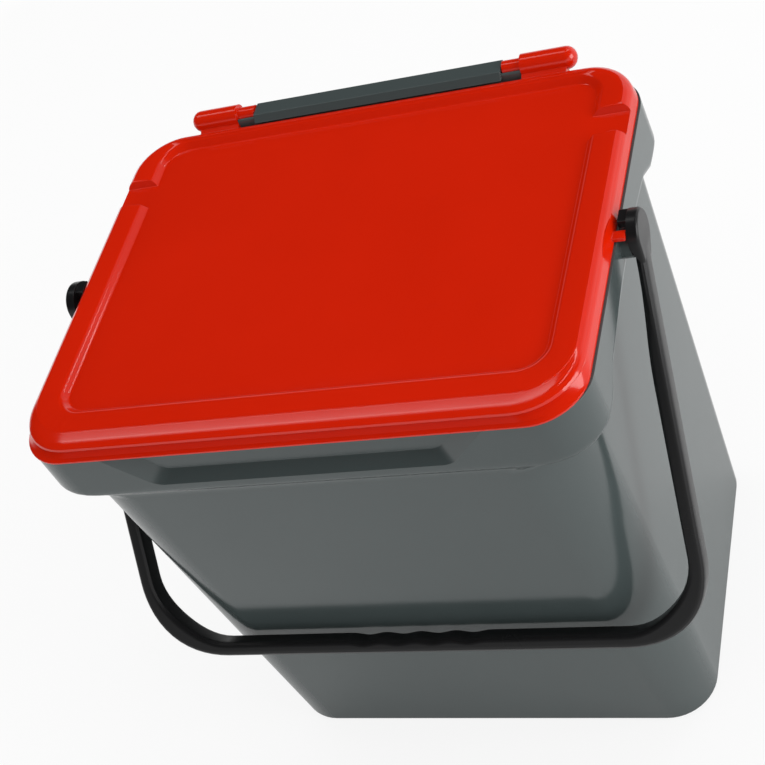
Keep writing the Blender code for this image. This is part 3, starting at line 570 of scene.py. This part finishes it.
def make_hinge_beam(additions, cuts):
    """The beam on its ledge, with gussets below, pockets between ribs and bores for the pins."""
    prism("hinge_ledge", ledge_outline(), -LEDGE_HALF_LENGTH, LEDGE_HALF_LENGTH, additions)
    prism("hinge_beam", beam_outline(), -BEAM_HALF_LENGTH, BEAM_HALF_LENGTH, additions)
    gusset_top = SHELF_FOOT + SHELF_THICKNESS / 2
    corners = (
        (BEAM_ROOT, SHELF_FOOT - GUSSET_DEPTH),
        (LEDGE_END - BEAM_WALL, gusset_top),
        (BEAM_ROOT, gusset_top),
    )
    last_start = LEDGE_HALF_LENGTH - BEAM_RIB_THICKNESS
    for index in range(GUSSETS):
        middle = LEDGE_HALF_LENGTH * (2 * index / (GUSSETS - 1) - 1)
        start = max(-LEDGE_HALF_LENGTH, min(middle - BEAM_RIB_THICKNESS / 2, last_start))
        prism(f"gusset_{index}", corners, start, start + BEAM_RIB_THICKNESS, additions)
    pocket_top = HINGE_Z - HINGE_PIN_RADIUS - RUNNING_GAP - BEAM_WALL
    pitch = (2 * LEDGE_HALF_LENGTH - BEAM_RIB_THICKNESS) / BEAM_RIBS
    for index in range(BEAM_RIBS):
        start = -LEDGE_HALF_LENGTH + BEAM_RIB_THICKNESS + index * pitch
        low = (start, LEDGE_FRONT + BEAM_WALL, SHELF_FOOT - OVERRUN)
        high = (start + pitch - BEAM_RIB_THICKNESS, LEDGE_END - BEAM_WALL, pocket_top)
        block(f"beam_pocket_{index}", low, high, cuts)
    spigot_bore = SPIGOT_RADIUS + RUNNING_GAP
    pin_bore = HINGE_PIN_RADIUS + RUNNING_GAP
    bore_start = BEAM_HALF_LENGTH - SPIGOT_LENGTH - PIVOT_END_GAP
    end = KNUCKLE_START + OVERRUN
    profile = (
        (bore_start, 0), (bore_start, spigot_bore), (BEAM_HALF_LENGTH, spigot_bore),
        (BEAM_HALF_LENGTH, pin_bore), (end, pin_bore), (end, 0),
    )
    for side in (-1, 1):
        turned(f"pin_bore_{side}", profile, side, (HINGE_Y, HINGE_Z), cuts)


def make_pivot_bosses(additions):
    """A boss at each side with the pin that the handle turns on."""
    root = COLLAR_HALF_WIDTH - BODY_WALL / 2
    shoulder = COLLAR_HALF_WIDTH + BOSS_LENGTH
    end = HEAD_INNER + PIVOT_PIN_LENGTH - PIVOT_END_GAP
    profile = (
        (root, 0), (root, BOSS_RADIUS), (shoulder, BOSS_RADIUS),
        (shoulder, PIVOT_PIN_RADIUS), (end, PIVOT_PIN_RADIUS), (end, 0),
    )
    for side in (-1, 1):
        turned(f"pivot_boss_{side}", profile, side, (PIVOT_PLACE, PIVOT_Z), additions)


def shape_body():
    """The tub under its collar, hollowed, with its hinge beam, bosses, recess and bores."""
    helpers = helper_collection("body_hollows")
    body = loft("body_shape", shell_rings(0, 0, 0, BODY_TOP), helpers)
    inside = shell_rings(BASE_THICKNESS, BODY_WALL, BODY_WALL, BODY_TOP + OVERRUN)
    hollow = loft("body_hollow", inside, helpers)
    front = -COLLAR_HALF_DEPTH
    back = front + RECESS_DEPTH
    backing = recess_loft("recess_backing", BODY_WALL, front, back + BODY_WALL, 0, helpers)
    combine(hollow, "Recess backing", "DIFFERENCE", backing)
    additions = helper_collection("body_additions")
    cuts = helper_collection("body_cuts")
    make_hinge_beam(additions, cuts)
    make_pivot_bosses(additions)
    recess_loft("finger_recess", 0, front - OVERRUN, back, RECESS_LIP_RADIUS, cuts)
    combine(body, "Hollow", "DIFFERENCE", hollow)
    combine(body, "Hinge and bosses", "UNION", additions)
    combine(body, "Recess, pockets and bores", "DIFFERENCE", cuts)
    return body


def moulded(shape, name, node, body, material):
    """The shaped form as one finished piece with whole flat faces, smooth up to real edges."""
    bpy.context.view_layer.update()
    graph = bpy.context.evaluated_depsgraph_get()
    baked = bpy.data.meshes.new_from_object(shape.evaluated_get(graph))
    form = bmesh.new()
    form.from_mesh(baked)
    bmesh.ops.transform(form, matrix=shape.matrix_world, verts=form.verts)
    bmesh.ops.remove_doubles(form, verts=form.verts, dist=MERGE)
    bmesh.ops.recalc_face_normals(form, faces=form.faces)
    bmesh.ops.dissolve_limit(
        form, angle_limit=FLAT_ANGLE, use_dissolve_boundaries=False,
        verts=form.verts, edges=form.edges, delimit=set(),
    )
    form.normal_update()
    for edge in form.edges:
        edge.smooth = edge.calc_face_angle(0) < SMOOTH_ANGLE
    for face in form.faces:
        face.smooth = True
    for collection in bench:
        for tool in list(collection.objects):
            bpy.data.objects.remove(tool, do_unlink=True)
        bpy.data.collections.remove(collection)
    bench.clear()
    bpy.data.meshes.remove(baked)
    piece = as_object(name, form, bpy.context.scene.collection)
    piece.data.materials.append(material)
    weighted = piece.modifiers.new("weighted_normals", "WEIGHTED_NORMAL")
    weighted.keep_sharp = True
    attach(piece, body)
    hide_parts(node)


def noise(tree, where, scale, detail):
    """The grey value of a Noise Texture at the place given."""
    node = tree.nodes.new("ShaderNodeTexNoise")
    node.inputs["Scale"].default_value = scale
    node.inputs["Detail"].default_value = detail
    tree.links.new(where, node.inputs["Vector"])
    return node.outputs["Fac"]


def skin_group():
    """The moulded skin: uneven tone, waves and grain, fine scuffs, and rubbing along the edges."""
    group = bpy.data.node_groups.new("moulded_skin", "ShaderNodeTree")
    for name in ("Colour", "Rubbed Colour"):
        group.interface.new_socket(name, in_out="INPUT", socket_type="NodeSocketColor")
    for name in ("Unevenness", "Rubbing", "Roughness", "Dulling", "Waves", "Grain"):
        group.interface.new_socket(name, in_out="INPUT", socket_type="NodeSocketFloat")
    group.interface.new_socket("Colour", in_out="OUTPUT", socket_type="NodeSocketColor")
    for name in ("Roughness", "Height"):
        group.interface.new_socket(name, in_out="OUTPUT", socket_type="NodeSocketFloat")
    given = group.nodes.new("NodeGroupInput").outputs
    result = group.nodes.new("NodeGroupOutput").inputs
    where = group.nodes.new("ShaderNodeTexCoord").outputs["Object"]
    cloud = noise(group, where, *CLOUD_NOISE)
    wave = noise(group, where, *WAVE_NOISE)
    grain = noise(group, where, *GRAIN_NOISE)
    stretch = group.nodes.new("ShaderNodeMapping")
    stretch.inputs["Rotation"].default_value = SCUFF_TURN
    stretch.inputs["Scale"].default_value = SCUFF_STRETCH
    drawn_out = noise(group, stretch.outputs["Vector"], *SCUFF_NOISE)
    scuff = smooth_range(group, drawn_out, *SCUFF_RANGE)
    soft = group.nodes.new("ShaderNodeBevel")
    soft.samples = BEVEL_SAMPLES
    soft.inputs["Radius"].default_value = WORN_EDGE
    true = group.nodes.new("ShaderNodeNewGeometry")
    alike = group.nodes.new("ShaderNodeVectorMath")
    alike.operation = "DOT_PRODUCT"
    edge = smooth_range(group, alike.outputs["Value"], *WORN_EDGE_RANGE, 1.0, 0.0)
    patchy = smooth_range(group, noise(group, where, *PATCH_NOISE), *PATCH_RANGE)
    rubbed = maths(group, "MULTIPLY", maths(group, "MULTIPLY", edge, patchy), given["Rubbing"])
    cloudy = maths(group, "SUBTRACT", cloud, NOISE_MIDDLE)
    uneven = maths(group, "MULTIPLY", cloudy, given["Unevenness"])
    tone = group.nodes.new("ShaderNodeVectorMath")
    tone.operation = "SCALE"
    tint = group.nodes.new("ShaderNodeMix")
    tint.data_type = "RGBA"
    clouds = maths(group, "MULTIPLY", cloud, CLOUD_DULLING)
    dull = maths(group, "ADD", clouds, maths(group, "ADD", rubbed, scuff))
    dulled = maths(group, "MULTIPLY", dull, given["Dulling"])
    waves = maths(group, "MULTIPLY", wave, given["Waves"])
    grains = maths(group, "MULTIPLY", grain, given["Grain"])
    join(
        group,
        (where, stretch.inputs["Vector"]),
        (soft.outputs["Normal"], alike.inputs[0]),
        (true.outputs["Normal"], alike.inputs[1]),
        (given["Colour"], tone.inputs[0]),
        (maths(group, "ADD", uneven, 1.0), tone.inputs["Scale"]),
        (rubbed, tint.inputs["Factor"]),
        (tone.outputs["Vector"], tint.inputs[MIX_FIRST]),
        (given["Rubbed Colour"], tint.inputs[MIX_SECOND]),
        (tint.outputs[MIX_RESULT], result["Colour"]),
        (maths(group, "ADD", given["Roughness"], dulled), result["Roughness"]),
        (maths(group, "ADD", waves, grains), result["Height"]),
    )
    return group


moulded_skin = skin_group()


def moulded_plastic(name, roughness, colours, amounts):
    """A glossy moulded plastic with its own colour and amounts of each effect of the skin."""
    material = bpy.data.materials.new(name)
    material.use_nodes = True
    tree = material.node_tree
    shader = tree.nodes["Principled BSDF"]
    skin = tree.nodes.new("ShaderNodeGroup")
    skin.node_tree = moulded_skin
    skin.inputs["Colour"].default_value = colours[0]
    skin.inputs["Rubbed Colour"].default_value = colours[1]
    skin.inputs["Roughness"].default_value = roughness
    for effect, amount in amounts.items():
        skin.inputs[effect].default_value = amount
    soft = tree.nodes.new("ShaderNodeBevel")
    soft.samples = BEVEL_SAMPLES
    soft.inputs["Radius"].default_value = SOFT_EDGE
    bump = tree.nodes.new("ShaderNodeBump")
    bump.inputs["Distance"].default_value = 1.0
    join(
        tree,
        (skin.outputs["Colour"], shader.inputs["Base Color"]),
        (skin.outputs["Roughness"], shader.inputs["Roughness"]),
        (skin.outputs["Height"], bump.inputs["Height"]),
        (soft.outputs["Normal"], bump.inputs["Normal"]),
        (bump.outputs["Normal"], shader.inputs["Normal"]),
    )
    return material


grey_moulding = moulded_plastic(
    "grey_moulding", GREY_ROUGHNESS, (GREY, GREY_RUBBED),
    {"Unevenness": 0.12, "Rubbing": 0.5, "Dulling": 0.05, "Waves": 0.00006, "Grain": 0.0000012},
)
moulded(shape_body(), "grey_body", "bin_body", "bin_body", grey_moulding)

# The lid: one injection moulding in red polypropylene, glossier than the body. A raised border
# runs round its panel, with a notch and a scoop at each side, a catch at the right and the hinge's
# knuckles and pins along the back.
LID_SIDE_STEP = 0.0016
LID_FRONT_RADIUS = 0.0360
LID_BACK_RADIUS = 0.0375
LID_CORNER_SWELL = 0.0070
LID_CREST = 0.0132
PANEL_HEIGHT = 0.0074
SIDE_BORDER = 0.0284
FRONT_BORDER = 0.0398
BACK_BORDER = 0.0133
PANEL_CORNER_RADIUS = 0.0180
PLATEAU_RISE = 0.0017
PLATEAU_SIDE_BAND = 0.0166
PLATEAU_FRONT_BAND = 0.0146
PLATEAU_BACK_BAND = 0.0156
PLATEAU_CORNER_RADIUS = 0.0070
LID_WALL = 0.0025
# Shares of the crest's height, of the borders' widths at the side, front and back, and of the
# corner swell, from the lid's foot over the crest to the foot of the border's inner slope.
LID_BORDER_SHARES = (
    (0.000, 0.000, 0.000, 0.000, 0.0),
    (0.090, 0.000, 0.000, 0.000, 0.0),
    (0.190, 0.014, 0.061, 0.008, 0.4),
    (0.515, 0.049, 0.131, 0.038, 1.0),
    (0.630, 0.060, 0.080, 0.067, 0.9),
    (0.750, 0.096, 0.095, 0.090, 0.9),
    (0.848, 0.145, 0.158, 0.143, 0.8),
    (0.917, 0.197, 0.251, 0.241, 0.7),
    (0.955, 0.226, 0.399, 0.323, 0.5),
    (0.981, 0.243, 0.417, 0.376, 0.5),
    (1.000, 0.440, 0.628, 0.526, 0.3),
    (0.920, 0.754, 0.824, 0.602, 0.0),
    (0.898, 0.789, 0.849, 0.654, 0.0),
    (0.871, 0.817, 0.869, 0.692, 0.0),
    (0.837, 0.842, 0.887, 0.729, 0.0),
    (0.788, 0.866, 0.905, 0.774, 0.0),
    (0.682, 0.915, 0.940, 0.872, 0.0),
    (0.606, 0.951, 0.965, 0.932, 0.0),
    (0.576, 0.972, 0.980, 0.970, 0.0),
)
# Row of the border, or the row after it for the panel's edge, then how many walls' thicknesses the
# hollow lies inwards of it at the side, front and back, and below it.
LID_HOLLOW_SHARES = (
    (2, 1.00, 1.00, 1.00, 0.00),
    (3, 1.00, 1.00, 1.00, 0.12),
    (5, 1.20, 1.90, 1.20, 0.60),
    (7, 0.90, 1.00, 0.70, 1.00),
    (10, 0.30, 0.20, 0.10, 1.00),
    (13, -0.67, -0.67, -0.67, 0.72),
    (19, -0.45, -0.45, -0.45, 1.00),
)
NOTCH_FRONT = 0.0810
NOTCH_LENGTH = 0.0240
NOTCH_RAMP = 0.0026
NOTCH_SHOULDER_DROP = 0.0010
NOTCH_SHOULDER_RUN = 0.0040
NOTCH_SHOULDER_RISE = 0.0014
NOTCH_EDGE_RADIUS = 0.0014
SCOOP_PLACE = -0.0150
SCOOP_HALF_LENGTH = 0.0275
SCOOP_DEPTH = 0.0034
SCOOP_HEIGHT = 0.0087
SCOOP_FOOT = 0.0008
TAB_PLACE = -0.0078
TAB_LENGTH = 0.0074
TAB_FOOT = 0.0006
TAB_THICKNESS = 0.0030
TAB_REACH = 0.0076
TAB_ROOT = 0.0050
TAB_EDGE_RADIUS = 0.0005
KNUCKLE_RADIUS = 0.0082
KNUCKLE_LENGTH = 0.0405
KNUCKLE_NOSE = 0.0075
KNUCKLE_WEB = 0.0100
KNUCKLE_WEB_DEPTH = 0.0060
PIN_END_GAP = 0.0009
NOSE_STEPS = 5
SCOOP_STEPS = 14
LID_HALF_WIDTH = COLLAR_HALF_WIDTH - LID_SIDE_STEP
RED = (0.63, 0.0130, 0.0005, 1)
RED_RUBBED = (0.64, 0.040, 0.018, 1)
RED_ROUGHNESS = 0.09


def lid_outline(row, side_shift, front_shift, back_shift, level_shift):
    """One row of the lid's border. The row after the last is the panel's edge."""
    if row < len(LID_BORDER_SHARES):
        height_share, side_share, front_share, back_share, swell_share = LID_BORDER_SHARES[row]
        level = height_share * LID_CREST
        swell = swell_share * LID_CORNER_SWELL
    else:
        side_share = front_share = back_share = 1
        level = PANEL_HEIGHT
        swell = 0
    side_in = side_share * SIDE_BORDER + side_shift
    front_in = front_share * FRONT_BORDER + front_shift
    back_in = back_share * BACK_BORDER + back_shift
    inner = max(side_shift, 0)
    return outline(
        LID_HALF_WIDTH - side_in,
        -LID_HALF_DEPTH + front_in,
        LID_HALF_DEPTH - back_in,
        LID_FRONT_RADIUS - side_share * (LID_FRONT_RADIUS - PANEL_CORNER_RADIUS) + swell - inner,
        LID_BACK_RADIUS - side_share * (LID_BACK_RADIUS - PANEL_CORNER_RADIUS) - inner,
        LID_FOOT + level + level_shift,
    )


def lid_rings():
    """The lid's form: its foot, the border's rows, the panel's edge and the plateau's."""
    rings = [lid_outline(row, 0, 0, 0, 0) for row in range(len(LID_BORDER_SHARES) + 1)]
    rings.append(outline(
        LID_HALF_WIDTH - SIDE_BORDER - PLATEAU_SIDE_BAND,
        -LID_HALF_DEPTH + FRONT_BORDER + PLATEAU_FRONT_BAND,
        LID_HALF_DEPTH - BACK_BORDER - PLATEAU_BACK_BAND,
        PLATEAU_CORNER_RADIUS,
        PLATEAU_CORNER_RADIUS,
        LID_FOOT + PANEL_HEIGHT + PLATEAU_RISE,
    ))
    return rings


def lid_hollow_rings():
    """The hollow under the lid, a wall's thickness inside the border's rows."""
    rings = [lid_outline(0, LID_WALL, LID_WALL, LID_WALL, shift) for shift in (-OVERRUN, 0)]
    for row, *inward, down in LID_HOLLOW_SHARES:
        rings.append(lid_outline(row, *(share * LID_WALL for share in (*inward, -down))))
    return rings


def notch_outline(grown):
    """The notch seen from the side, with its rounded ramp at the back, grown by a wall."""
    foot = LID_FOOT + PANEL_HEIGHT - grown
    shoulder = LID_FOOT + LID_CREST - NOTCH_SHOULDER_DROP
    head = LID_FOOT + LID_CREST + OVERRUN
    start = NOTCH_FRONT - grown
    end = NOTCH_FRONT + NOTCH_LENGTH + grown
    over = end + NOTCH_RAMP
    far = over + NOTCH_SHOULDER_RUN * (head - shoulder) / NOTCH_SHOULDER_RISE
    corners = ((start, foot), (end, foot), (over, shoulder), (far, head), (start, head))
    edge = 0 if grown else NOTCH_EDGE_RADIUS
    return filleted(corners, (0, edge / 2, edge, 0, 0), NOSE_STEPS)


def scoop_loft(name, grown, side, collection):
    """A hollow in the lid's side that deepens from its foot upwards, grown by a wall."""
    radius = (SCOOP_HALF_LENGTH ** 2 + SCOOP_DEPTH ** 2) / (2 * SCOOP_DEPTH)
    span = math.asin((SCOOP_HALF_LENGTH + 2 * grown + 2 * SCOOP_DEPTH) / radius)
    arc = []
    for step in range(SCOOP_STEPS + 1):
        angle = span * (2 * step / SCOOP_STEPS - 1)
        out = radius - (radius + grown) * math.cos(angle)
        arc.append((out, SCOOP_PLACE + (radius + grown) * math.sin(angle)))
    far = LID_HALF_WIDTH + OVERRUN
    foot = LID_FOOT - OVERRUN if grown else LID_FOOT + SCOOP_FOOT
    head = LID_FOOT + LID_CREST + OVERRUN
    levels = ((foot, 0), (LID_FOOT + SCOOP_HEIGHT, SCOOP_DEPTH), (head, SCOOP_DEPTH))
    rings = []
    for level, depth in levels:
        ring = [Vector((side * (LID_HALF_WIDTH - depth + x), y, level)) for x, y in arc]
        ring.append(Vector((side * far, arc[-1][1], level)))
        ring.append(Vector((side * far, arc[0][1], level)))
        rings.append(ring)
    return loft(name, rings, collection)


def make_knuckles(additions):
    """Round-nosed barrels on the lid's back edge, with the pins that turn in the body's beam."""
    nose = []
    start = KNUCKLE_START + KNUCKLE_LENGTH - KNUCKLE_NOSE
    for step in range(NOSE_STEPS + 1):
        angle = step / NOSE_STEPS * math.pi / 2
        nose.append((start + KNUCKLE_NOSE * math.sin(angle), KNUCKLE_RADIUS * math.cos(angle)))
    nose[-1] = (start + KNUCKLE_NOSE, 0)
    pin_end = BEAM_HALF_LENGTH + PIN_END_GAP
    spigot_end = BEAM_HALF_LENGTH - SPIGOT_LENGTH
    profile = [
        (spigot_end, 0), (spigot_end, SPIGOT_RADIUS), (pin_end, SPIGOT_RADIUS),
        (pin_end, HINGE_PIN_RADIUS), (KNUCKLE_START, HINGE_PIN_RADIUS),
        (KNUCKLE_START, KNUCKLE_RADIUS), *nose,
    ]
    web_low = LID_HALF_DEPTH - KNUCKLE_WEB_DEPTH
    middle = LID_FOOT + (LID_CREST + PANEL_HEIGHT) / 2 - LID_WALL
    for side in (-1, 1):
        turned(f"knuckle_{side}", profile, side, (HINGE_Y, HINGE_Z), additions)
        ends = sorted((side * KNUCKLE_START, side * start))
        low = (ends[0], web_low, middle - LID_WALL)
        high = (ends[1], HINGE_Y - KNUCKLE_RADIUS / 2, middle + KNUCKLE_WEB - LID_WALL)
        corners = (low[1:], (high[1], low[2]), high[1:], (low[1], middle + LID_WALL))
        prism(f"knuckle_web_{side}", corners, low[0], high[0], additions)


def make_tab(additions):
    """The catch on the lid's right-hand side, in front of the hook."""
    foot = LID_FOOT + TAB_FOOT
    low = (LID_HALF_WIDTH - TAB_ROOT, TAB_PLACE - TAB_LENGTH / 2, foot)
    high = (LID_HALF_WIDTH + TAB_REACH, TAB_PLACE + TAB_LENGTH / 2, foot + TAB_THICKNESS)
    block("tab", low, high, additions, TAB_EDGE_RADIUS)


def shape_lid():
    """The bordered panel, hollowed, with notches, scoops, hinge knuckles and the side tab."""
    helpers = helper_collection("lid_hollows")
    lid = loft("lid_shape", lid_rings(), helpers)
    hollow = loft("lid_hollow", lid_hollow_rings(), helpers)
    backings = helper_collection("lid_backings")
    cuts = helper_collection("lid_cuts")
    additions = helper_collection("lid_additions")
    panel_edge = LID_HALF_WIDTH - SIDE_BORDER
    far = LID_HALF_WIDTH + OVERRUN
    for side in (-1, 1):
        inner = sorted((side * (panel_edge - LID_WALL), side * far))
        prism(f"notch_backing_{side}", notch_outline(LID_WALL), *inner, backings)
        outer = sorted((side * panel_edge, side * far))
        prism(f"notch_{side}", notch_outline(0), *outer, cuts)
        scoop_loft(f"scoop_backing_{side}", LID_WALL, side, backings)
        scoop_loft(f"scoop_{side}", 0, side, cuts)
    combine(hollow, "Backings", "DIFFERENCE", backings)
    make_knuckles(additions)
    make_tab(additions)
    combine(lid, "Notches and scoops", "DIFFERENCE", cuts)
    combine(lid, "Hollow", "DIFFERENCE", hollow)
    combine(lid, "Hinge and tab", "UNION", additions)
    return lid


red_moulding = moulded_plastic(
    "red_moulding", RED_ROUGHNESS, (RED, RED_RUBBED),
    {"Unevenness": 0.12, "Rubbing": 0.4, "Dulling": 0.05, "Waves": 0.00005, "Grain": 0.000001},
)
moulded(shape_lid(), "red_lid", "lid", "lid", red_moulding)

# The handle: one injection moulding in black polypropylene with a duller, grained skin, a little
# paler along its rubbed edges. Its egg-shaped heads snap over the body's pins, and a hook stands
# on each.
ARM_CLEARANCE = 0.0029
ARM_SPREAD = 0.0052
ARM_WIDTH = 0.0111
HANDLE_THICKNESS = 0.0172
HANDLE_REACH = 0.2796
BAR_WIDTH = 0.0115
BAR_WALL_GAP = 0.0008
HANDLE_CORNER_RADIUS = 0.0570
HANDLE_EDGE_RADIUS = 0.0042
ARM_NECK_LENGTH = 0.0180
ARM_NECK_RAMP = 0.0750
GRIP_PITCH = 0.0275
GRIP_DEPTH = 0.0017
GRIP_WAVES = 2
WAVE_STEPS = 8
ARM_STEPS = 6
BEND_STEPS = 14
MITRE_SWELL = math.sqrt(2) - 1
HEAD_OFFSET = 0.0058
HEAD_RADIUS = 0.0155
HEAD_LENGTH = 0.0190
HEAD_PROUD = 0.0002
HEAD_EDGE_RADIUS = 0.0022
HEAD_TRIM_START = 0.0090
HEAD_TRIM_DEPTH = 0.0046
HEAD_STEPS = 24
EDGE_STEPS = 3
HOOK_SETBACK = 0.0045
HOOK_LENGTH = 0.0115
HOOK_FOOT = 0.0125
HOOK_HEIGHT = 0.0060
HOOK_REACH = 0.0064
HOOK_EDGE_RADIUS = 0.0009
HEAD_OUTER = COLLAR_HALF_WIDTH + ARM_CLEARANCE + ARM_WIDTH + HEAD_PROUD
BLACK = (0.009, 0.009, 0.0095, 1)
BLACK_RUBBED = (0.030, 0.030, 0.031, 1)
BLACK_ROUGHNESS = 0.26
BLACK_SPECULAR = 0.28


def handle_lean():
    """The angle at which the bar comes to rest just clear of the tapered front wall."""
    draft = math.atan2(FRONT_DRAFT, NECK_LEVEL)
    normal_y = -math.cos(draft)
    normal_z = -math.sin(draft)
    behind = normal_y * (PIVOT_PLACE - NECK_FRONT) + normal_z * (PIVOT_Z - NECK_LEVEL)
    along = HANDLE_REACH - BAR_WIDTH
    across = HANDLE_THICKNESS / 2
    swing = math.asin((BAR_WALL_GAP - behind) / math.hypot(along, across))
    return swing + math.atan2(across, along) - draft


def handle_stations():
    """Place, outward normal, half width and wave, down the right arm and along half the bar.

    The bend swells in its middle towards the width of a mitred corner.
    """
    top = Vector((COLLAR_HALF_WIDTH + ARM_CLEARANCE + ARM_WIDTH / 2, HEAD_OFFSET))
    bar = -HANDLE_REACH + BAR_WIDTH / 2
    corner = Vector((top.x + ARM_SPREAD, bar))
    down = (corner - top).normalized()
    turn = math.pi / 2 + math.atan2(down.x, -down.y)
    reach = HANDLE_CORNER_RADIUS * math.tan(turn / 2)
    bend_start = corner - down * reach
    outward = Vector((-down.y, down.x))
    centre = bend_start - outward * HANDLE_CORNER_RADIUS
    stations = []
    narrow = HEAD_INNER + RUNNING_GAP - (COLLAR_HALF_WIDTH + ARM_CLEARANCE)
    neck = HEAD_OFFSET + ARM_NECK_LENGTH
    places = [(0, narrow), (neck, narrow)]
    for step in range(1, ARM_STEPS + 1):
        share = step / ARM_STEPS
        places.append((neck + share * ARM_NECK_RAMP, narrow * (1 + math.cos(share * math.pi)) / 2))
    for along, thinning in places:
        middle = top + down * along + outward * thinning / 2
        stations.append((middle, outward, (ARM_WIDTH - thinning) / 2, 0))
    start_angle = math.atan2(outward.y, outward.x)
    for step in range(BEND_STEPS + 1):
        share = step / BEND_STEPS
        angle = start_angle - share * turn
        normal = Vector((math.cos(angle), math.sin(angle)))
        swell = math.sin(share * math.pi) ** 2 * MITRE_SWELL * (ARM_WIDTH + BAR_WIDTH) / 4
        half = (ARM_WIDTH + share * (BAR_WIDTH - ARM_WIDTH)) / 2 + swell
        stations.append((centre + normal * HANDLE_CORNER_RADIUS, normal, half, 0))
    steps = GRIP_WAVES * WAVE_STEPS
    span = GRIP_WAVES * GRIP_PITCH
    for step in range(steps + 1):
        x = span * (1 - step / steps)
        wave = GRIP_DEPTH * (1 - math.cos(2 * math.pi * x / GRIP_PITCH)) / 2
        stations.append((Vector((x, bar)), Vector((0, -1)), BAR_WIDTH / 2, wave))
    return stations


def handle_section(place, outward, half, wave):
    """A rounded oblong across the handle; the wave cuts into the side that the fingers hold."""
    thick = HANDLE_THICKNESS / 2
    inner = half - wave
    corners = ((-inner, -thick), (half, -thick), (half, thick), (-inner, thick))
    points = filleted(corners, [HANDLE_EDGE_RADIUS] * len(corners), EDGE_STEPS)
    return [Vector((place.x + u * outward.x, v, place.y + u * outward.y)) for u, v in points]


def trim(obj, place, normal):
    """What lies beyond a plane is cut off the object, and the cut closed."""
    form = bmesh.new()
    form.from_mesh(obj.data)
    cut = bmesh.ops.bisect_plane(
        form, geom=[*form.verts, *form.edges, *form.faces],
        plane_co=place, plane_no=normal, clear_outer=True,
    )
    rim = [item for item in cut["geom_cut"] if isinstance(item, bmesh.types.BMEdge)]
    bmesh.ops.contextual_create(form, geom=rim)
    bmesh.ops.recalc_face_normals(form, faces=form.faces)
    form.to_mesh(obj.data)
    form.free()


def mirrored(ring):
    """The ring on the other side."""
    return [Vector((-point.x, point.y, point.z)) for point in ring]


def head_outline():
    """The arm's end seen from the side: a round top whose flanks run into the arm."""
    end = HEAD_OFFSET - HEAD_LENGTH
    half = HANDLE_THICKNESS / 2
    tilt = math.asin((HEAD_RADIUS - half) / HEAD_LENGTH)
    points = []
    for step in range(HEAD_STEPS + 1):
        angle = -tilt + step / HEAD_STEPS * (math.pi + 2 * tilt)
        points.append((HEAD_RADIUS * math.cos(angle), HEAD_OFFSET + HEAD_RADIUS * math.sin(angle)))
    return points + [(-half, end), (half, end)]


def make_head(side, additions):
    """The egg-shaped end of one arm, with a rounded outer edge, standing over the pivot."""
    inner = side * HEAD_INNER
    edge = side * (HEAD_OUTER - HEAD_EDGE_RADIUS)
    points = head_outline()
    centre = Vector((0, HEAD_OFFSET))
    rings = [[Vector((x, y, z)) for y, z in points] for x in (inner, edge)]
    for step in range(1, EDGE_STEPS + 1):
        angle = step / EDGE_STEPS * math.pi / 2
        back_off = HEAD_EDGE_RADIUS * (1 - math.cos(angle)) / HEAD_RADIUS
        x = edge + side * HEAD_EDGE_RADIUS * math.sin(angle)
        drawn_in = [centre + (Vector(point) - centre) * (1 - back_off) for point in points]
        rings.append([Vector((x, y, z)) for y, z in drawn_in])
    head = loft(f"head_{side}", rings, additions)
    foot = HEAD_OFFSET - HEAD_LENGTH
    start = HEAD_OFFSET - HEAD_TRIM_START
    slope = Vector((side * (foot - start), 0, -HEAD_TRIM_DEPTH))
    trim(head, Vector((inner, 0, start)), slope.normalized())
    head.location = (0, PIVOT_PLACE, PIVOT_Z)
    head.rotation_euler = (-handle_lean(), 0, 0)


def shape_handle():
    """The arms and bar drawn as one form, with heads and hooks added and the pins' bores cut."""
    right = [handle_section(*station) for station in handle_stations()]
    rings = right + [mirrored(ring) for ring in reversed(right[:-1])]
    handle = loft("handle_shape", rings, helper_collection("handle_form"))
    handle.location = (0, PIVOT_PLACE, PIVOT_Z)
    handle.rotation_euler = (-handle_lean(), 0, 0)
    heads = helper_collection("handle_heads")
    hooks = helper_collection("handle_hooks")
    bores = helper_collection("handle_bores")
    hook_front = TAB_PLACE + TAB_LENGTH / 2 + HOOK_SETBACK
    hook_foot = PIVOT_Z + HOOK_FOOT
    radius = PIVOT_PIN_RADIUS + RUNNING_GAP
    start = COLLAR_HALF_WIDTH - OVERRUN
    end = HEAD_INNER + PIVOT_PIN_LENGTH
    profile = ((start, 0), (start, radius), (end, radius), (end, 0))
    for side in (-1, 1):
        make_head(side, heads)
        ends = sorted((side * (HEAD_INNER - HOOK_REACH), side * (HEAD_INNER + HEAD_OUTER) / 2))
        low = (ends[0], hook_front, hook_foot)
        high = (ends[1], hook_front + HOOK_LENGTH, hook_foot + HOOK_HEIGHT)
        block(f"hook_{side}", low, high, hooks, HOOK_EDGE_RADIUS)
        turned(f"pivot_bore_{side}", profile, side, (PIVOT_PLACE, PIVOT_Z), bores)
    combine(handle, "Heads", "UNION", heads)
    combine(handle, "Hooks", "UNION", hooks)
    combine(handle, "Bores", "DIFFERENCE", bores)
    return handle


black_moulding = moulded_plastic(
    "black_moulding", BLACK_ROUGHNESS, (BLACK, BLACK_RUBBED),
    {"Unevenness": 0.2, "Rubbing": 0.6, "Dulling": 0.08, "Waves": 0.00003, "Grain": 0.000003},
)
black_shader = black_moulding.node_tree.nodes["Principled BSDF"]
black_shader.inputs["Specular IOR Level"].default_value = BLACK_SPECULAR
moulded(shape_handle(), "black_handle", "handle", "handle", black_moulding)
